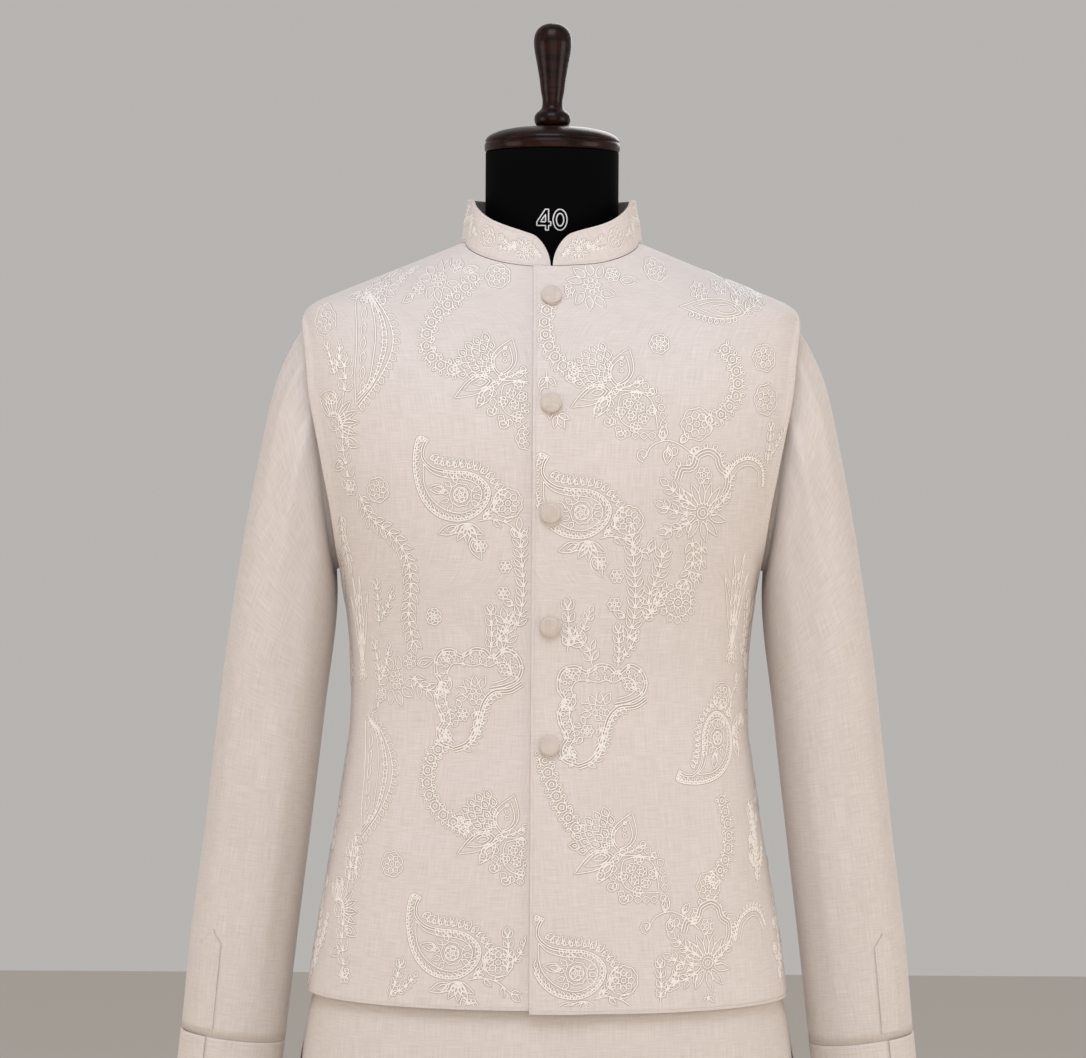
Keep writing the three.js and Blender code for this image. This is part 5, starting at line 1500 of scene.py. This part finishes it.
class ClothMap:
    """Turns the distance round from a panel's centre line and the height into places on its outer face."""

    def __init__(self, behind, out_at, first_edge):
        self.behind, self.out_at = behind, out_at
        self.heights = np.arange(JACKET_HEM - 8, SHOULDER_NECK + 0.1, ROW_STEP)
        turns = spread(180, 0, 180)
        self.distances = spread(COLUMNS, 0, COLUMNS * COLUMN_STEP)
        self.turns, self.first, self.last = [], [], []
        for z in self.heights:
            level = (180 - turns) if behind else turns
            length = lengths_along(jacket.skin(level, z, JACKET_OUT))
            self.turns.append(np.interp(self.distances, length, turns))
            edge = side_turn(jacket, JACKET_ARMHOLE, z, behind)
            self.last.append(np.interp(180 - edge if behind else edge, turns, length))
            self.first.append(first_edge)
            if z > JACKET_FRONT_NECK and not behind:
                self.first[-1] = max(first_edge, np.interp(neckline(z), turns, length))
        self.turns = np.array(self.turns)

    def inside(self, line):
        """Which of a line's points lie on the panel, a margin from its edges."""
        away, z = line.T
        first = np.interp(z, self.heights, self.first) + EMBROIDERY_MARGIN
        last = np.interp(z, self.heights, self.last) - EMBROIDERY_MARGIN
        top = (SHOULDER_NECK if self.behind else SHOULDER_NECK + 1) - EMBROIDERY_MARGIN
        return (away > first) & (away < last) & (z > JACKET_HEM + EMBROIDERY_MARGIN) & (z < top)

    def place(self, line):
        """The places of a line's points on the panel's outer face, and the directions out of it."""
        away, z = line.T
        row = np.clip((z - self.heights[0]) / ROW_STEP, 0, len(self.heights) - 1.001)
        column = np.clip(np.abs(away) / COLUMN_STEP, 0, COLUMNS - 1)
        i, j = row.astype(int), column.astype(int)
        f, g = row - i, column - j
        t = self.turns
        lower = t[i, j] * (1 - g) + t[i, j + 1] * g
        upper = t[i + 1, j] * (1 - g) + t[i + 1, j + 1] * g
        turn = np.copysign(lower * (1 - f) + upper * f, away)
        turn = 180 - turn if self.behind else turn
        out = self.out_at(turn, z)
        return jacket.skin(turn, z, out), unit(jacket.skin(turn, z, out + 1) - jacket.skin(turn, z, out))


def trimmed(line, keep):
    """The runs of a line's points that are kept, where they are long enough to sew."""
    edges = np.flatnonzero(np.diff(np.concatenate([[0], keep.astype(int), [0]])))
    return [line[a:b] for a, b in zip(edges[::2], edges[1::2]) if b - a >= 3]


def sewn_cords(name, runs, size=1.0):
    """Low rounded cords along runs of places and outward directions, each edged on both sides by a flat strip
    of painted shade.
    """
    rows = []
    for places, outward in runs:
        side = unit(np.cross(np.gradient(places, axis=0), outward))
        rows.append(np.stack([places + side * (across * size) + outward * (up * size)
                              for across, up in CORD_SECTION], 1))
    ends = np.cumsum([len(row) for row in rows])
    points = np.concatenate(rows) * MM
    strips = len(CORD_SECTION) - 1
    shape = bmesh.new()
    bmesh.ops.create_grid(shape, x_segments=strips, y_segments=len(points) - 1, size=1)
    shape.faces.ensure_lookup_table()
    for vertex, place in zip(shape.verts, points.reshape(-1, 3)):
        vertex.co = place
    for i, face in enumerate(shape.faces):
        # The outer strip on each side of a cord takes the second material, which is painted shade
        face.material_index = int(i % strips in (0, strips - 1))
    between = [shape.faces[(end - 1) * strips + k] for end in ends[:-1] for k in range(strips)]
    bmesh.ops.delete(shape, geom=between, context="FACES")
    made = put(name, shape, embroidery_cord)
    made.data.materials.append(painted_cord_shade)
    return made


embroidery_cord = material("embroidery_cotton_cord", Base_Color=colour("#e8e0d9"), Roughness=0.6,
                           Sheen_Weight=0.1)
tree = embroidery_cord.node_tree
tinted(tree, noise(tree, object_place(tree), 1.4, Detail=2.0), "#e6ded5", "#fbf6ef")

# Painted shade: the jacket's cloth darkened and laid in flat strips along each cord's edges, standing for the
# shadow beside the raised cord where its couching pulls the cloth down
painted_cord_shade = material("painted_cord_shade_cloth", Base_Color=colour("#ab9c8c"), Roughness=0.9)
tree = painted_cord_shade.node_tree
tinted(tree, noise(tree, object_place(tree), 3, Detail=2.0), "#8f8072", "#ab9b8c")

drawn = {}
for side, motifs, bands, vines in (("left", LEFT_OF_PICTURE, LEFT_BANDS, LEFT_VINES),
                                   ("right", RIGHT_OF_PICTURE, RIGHT_BANDS, RIGHT_VINES)):
    drawn[side] = [line for motif, x, z, turn, size in motifs for line in set_in(motif(), (x, z), turn, size)]
    drawn[side] += [line for points in bands for line in braid(points)]
    drawn[side] += [line for points in vines for line in leafed(points, 10.5, 5, 7.2)]
back_map = ClothMap(True, lower_front_out, -400)  # its first edge lies past the centre line
panels = [  # the jacket's piece, its name's end, the drawing, its side in X and its map
    (0, "", "right", 1, ClothMap(False, upper_front_out, -FRONT_LAP)),
    (1, "", "left", -1, ClothMap(False, lower_front_out, FRONT_LAP)),
    (2, "_left_half", "left", -1, back_map),
    (2, "_right_half", "right", 1, back_map),
]
for index, ending, side, sign, cloth in panels:
    runs = []
    for line in drawn[side]:
        flat = line * (sign, 1)
        keep = cloth.inside(flat)
        if index == 0:
            for height in BUTTON_HEIGHTS:
                keep &= np.hypot(flat[:, 0], flat[:, 1] - height) > BUTTON_CLEAR
        if cloth.behind:
            keep &= flat[:, 0] > 0
        for run in trimmed(flat, keep):
            places, outward = cloth.place(run * (-sign, 1) if cloth.behind else run)
            flip = (1 if cloth.behind else sign, 1, 1)
            runs.append((places * flip, outward * flip))
    jacket_piece, sewn_on, *_ = jacket_pieces[index]
    sewn_on.append(sewn_cords(jacket_piece.name + "_embroidery" + ending, runs))

# The collar carries small flowers and sprigs along both of its halves
COLLAR_MOTIFS = [(cluster, 24, 14, 0, 0.42), (sprig, 40, 18, -60, 0.5), (round_flower, 62, 18, 0, 0.8),
                 (cluster, 92, 19, 0, 0.45), (sprig, 122, 20, 80, 0.6), (round_flower, 150, 20, 0, 0.9),
                 (cluster, 186, 21, 0, 0.45)]
COLLAR_FRONT_CLEAR, COLLAR_FOOT_CLEAR, COLLAR_TOP_CLEAR, COLLAR_BACK_CLEAR = 8, 3, 3.5, 4
runs = []
for half in collar_halves:
    for motif, *place, turn, size in COLLAR_MOTIFS:
        for line in set_in(motif(), place, turn, size):
            length, up = line.T
            keep = (up > COLLAR_FOOT_CLEAR) & (up < collar_height(length) - COLLAR_TOP_CLEAR)
            keep &= (length > COLLAR_FRONT_CLEAR) & (length < half.total - COLLAR_BACK_CLEAR)
            for run in trimmed(line, keep):
                share = (run[:, 1] - COLLAR_FOOT) / collar_height(run[:, 0])
                places = half.place(run[:, 0], share)
                runs.append((places, unit(half.place(run[:, 0], share, 1.0) - places)))
jacket_pieces[3][1].append(sewn_cords("jacket_collar_embroidery", runs, 0.8))
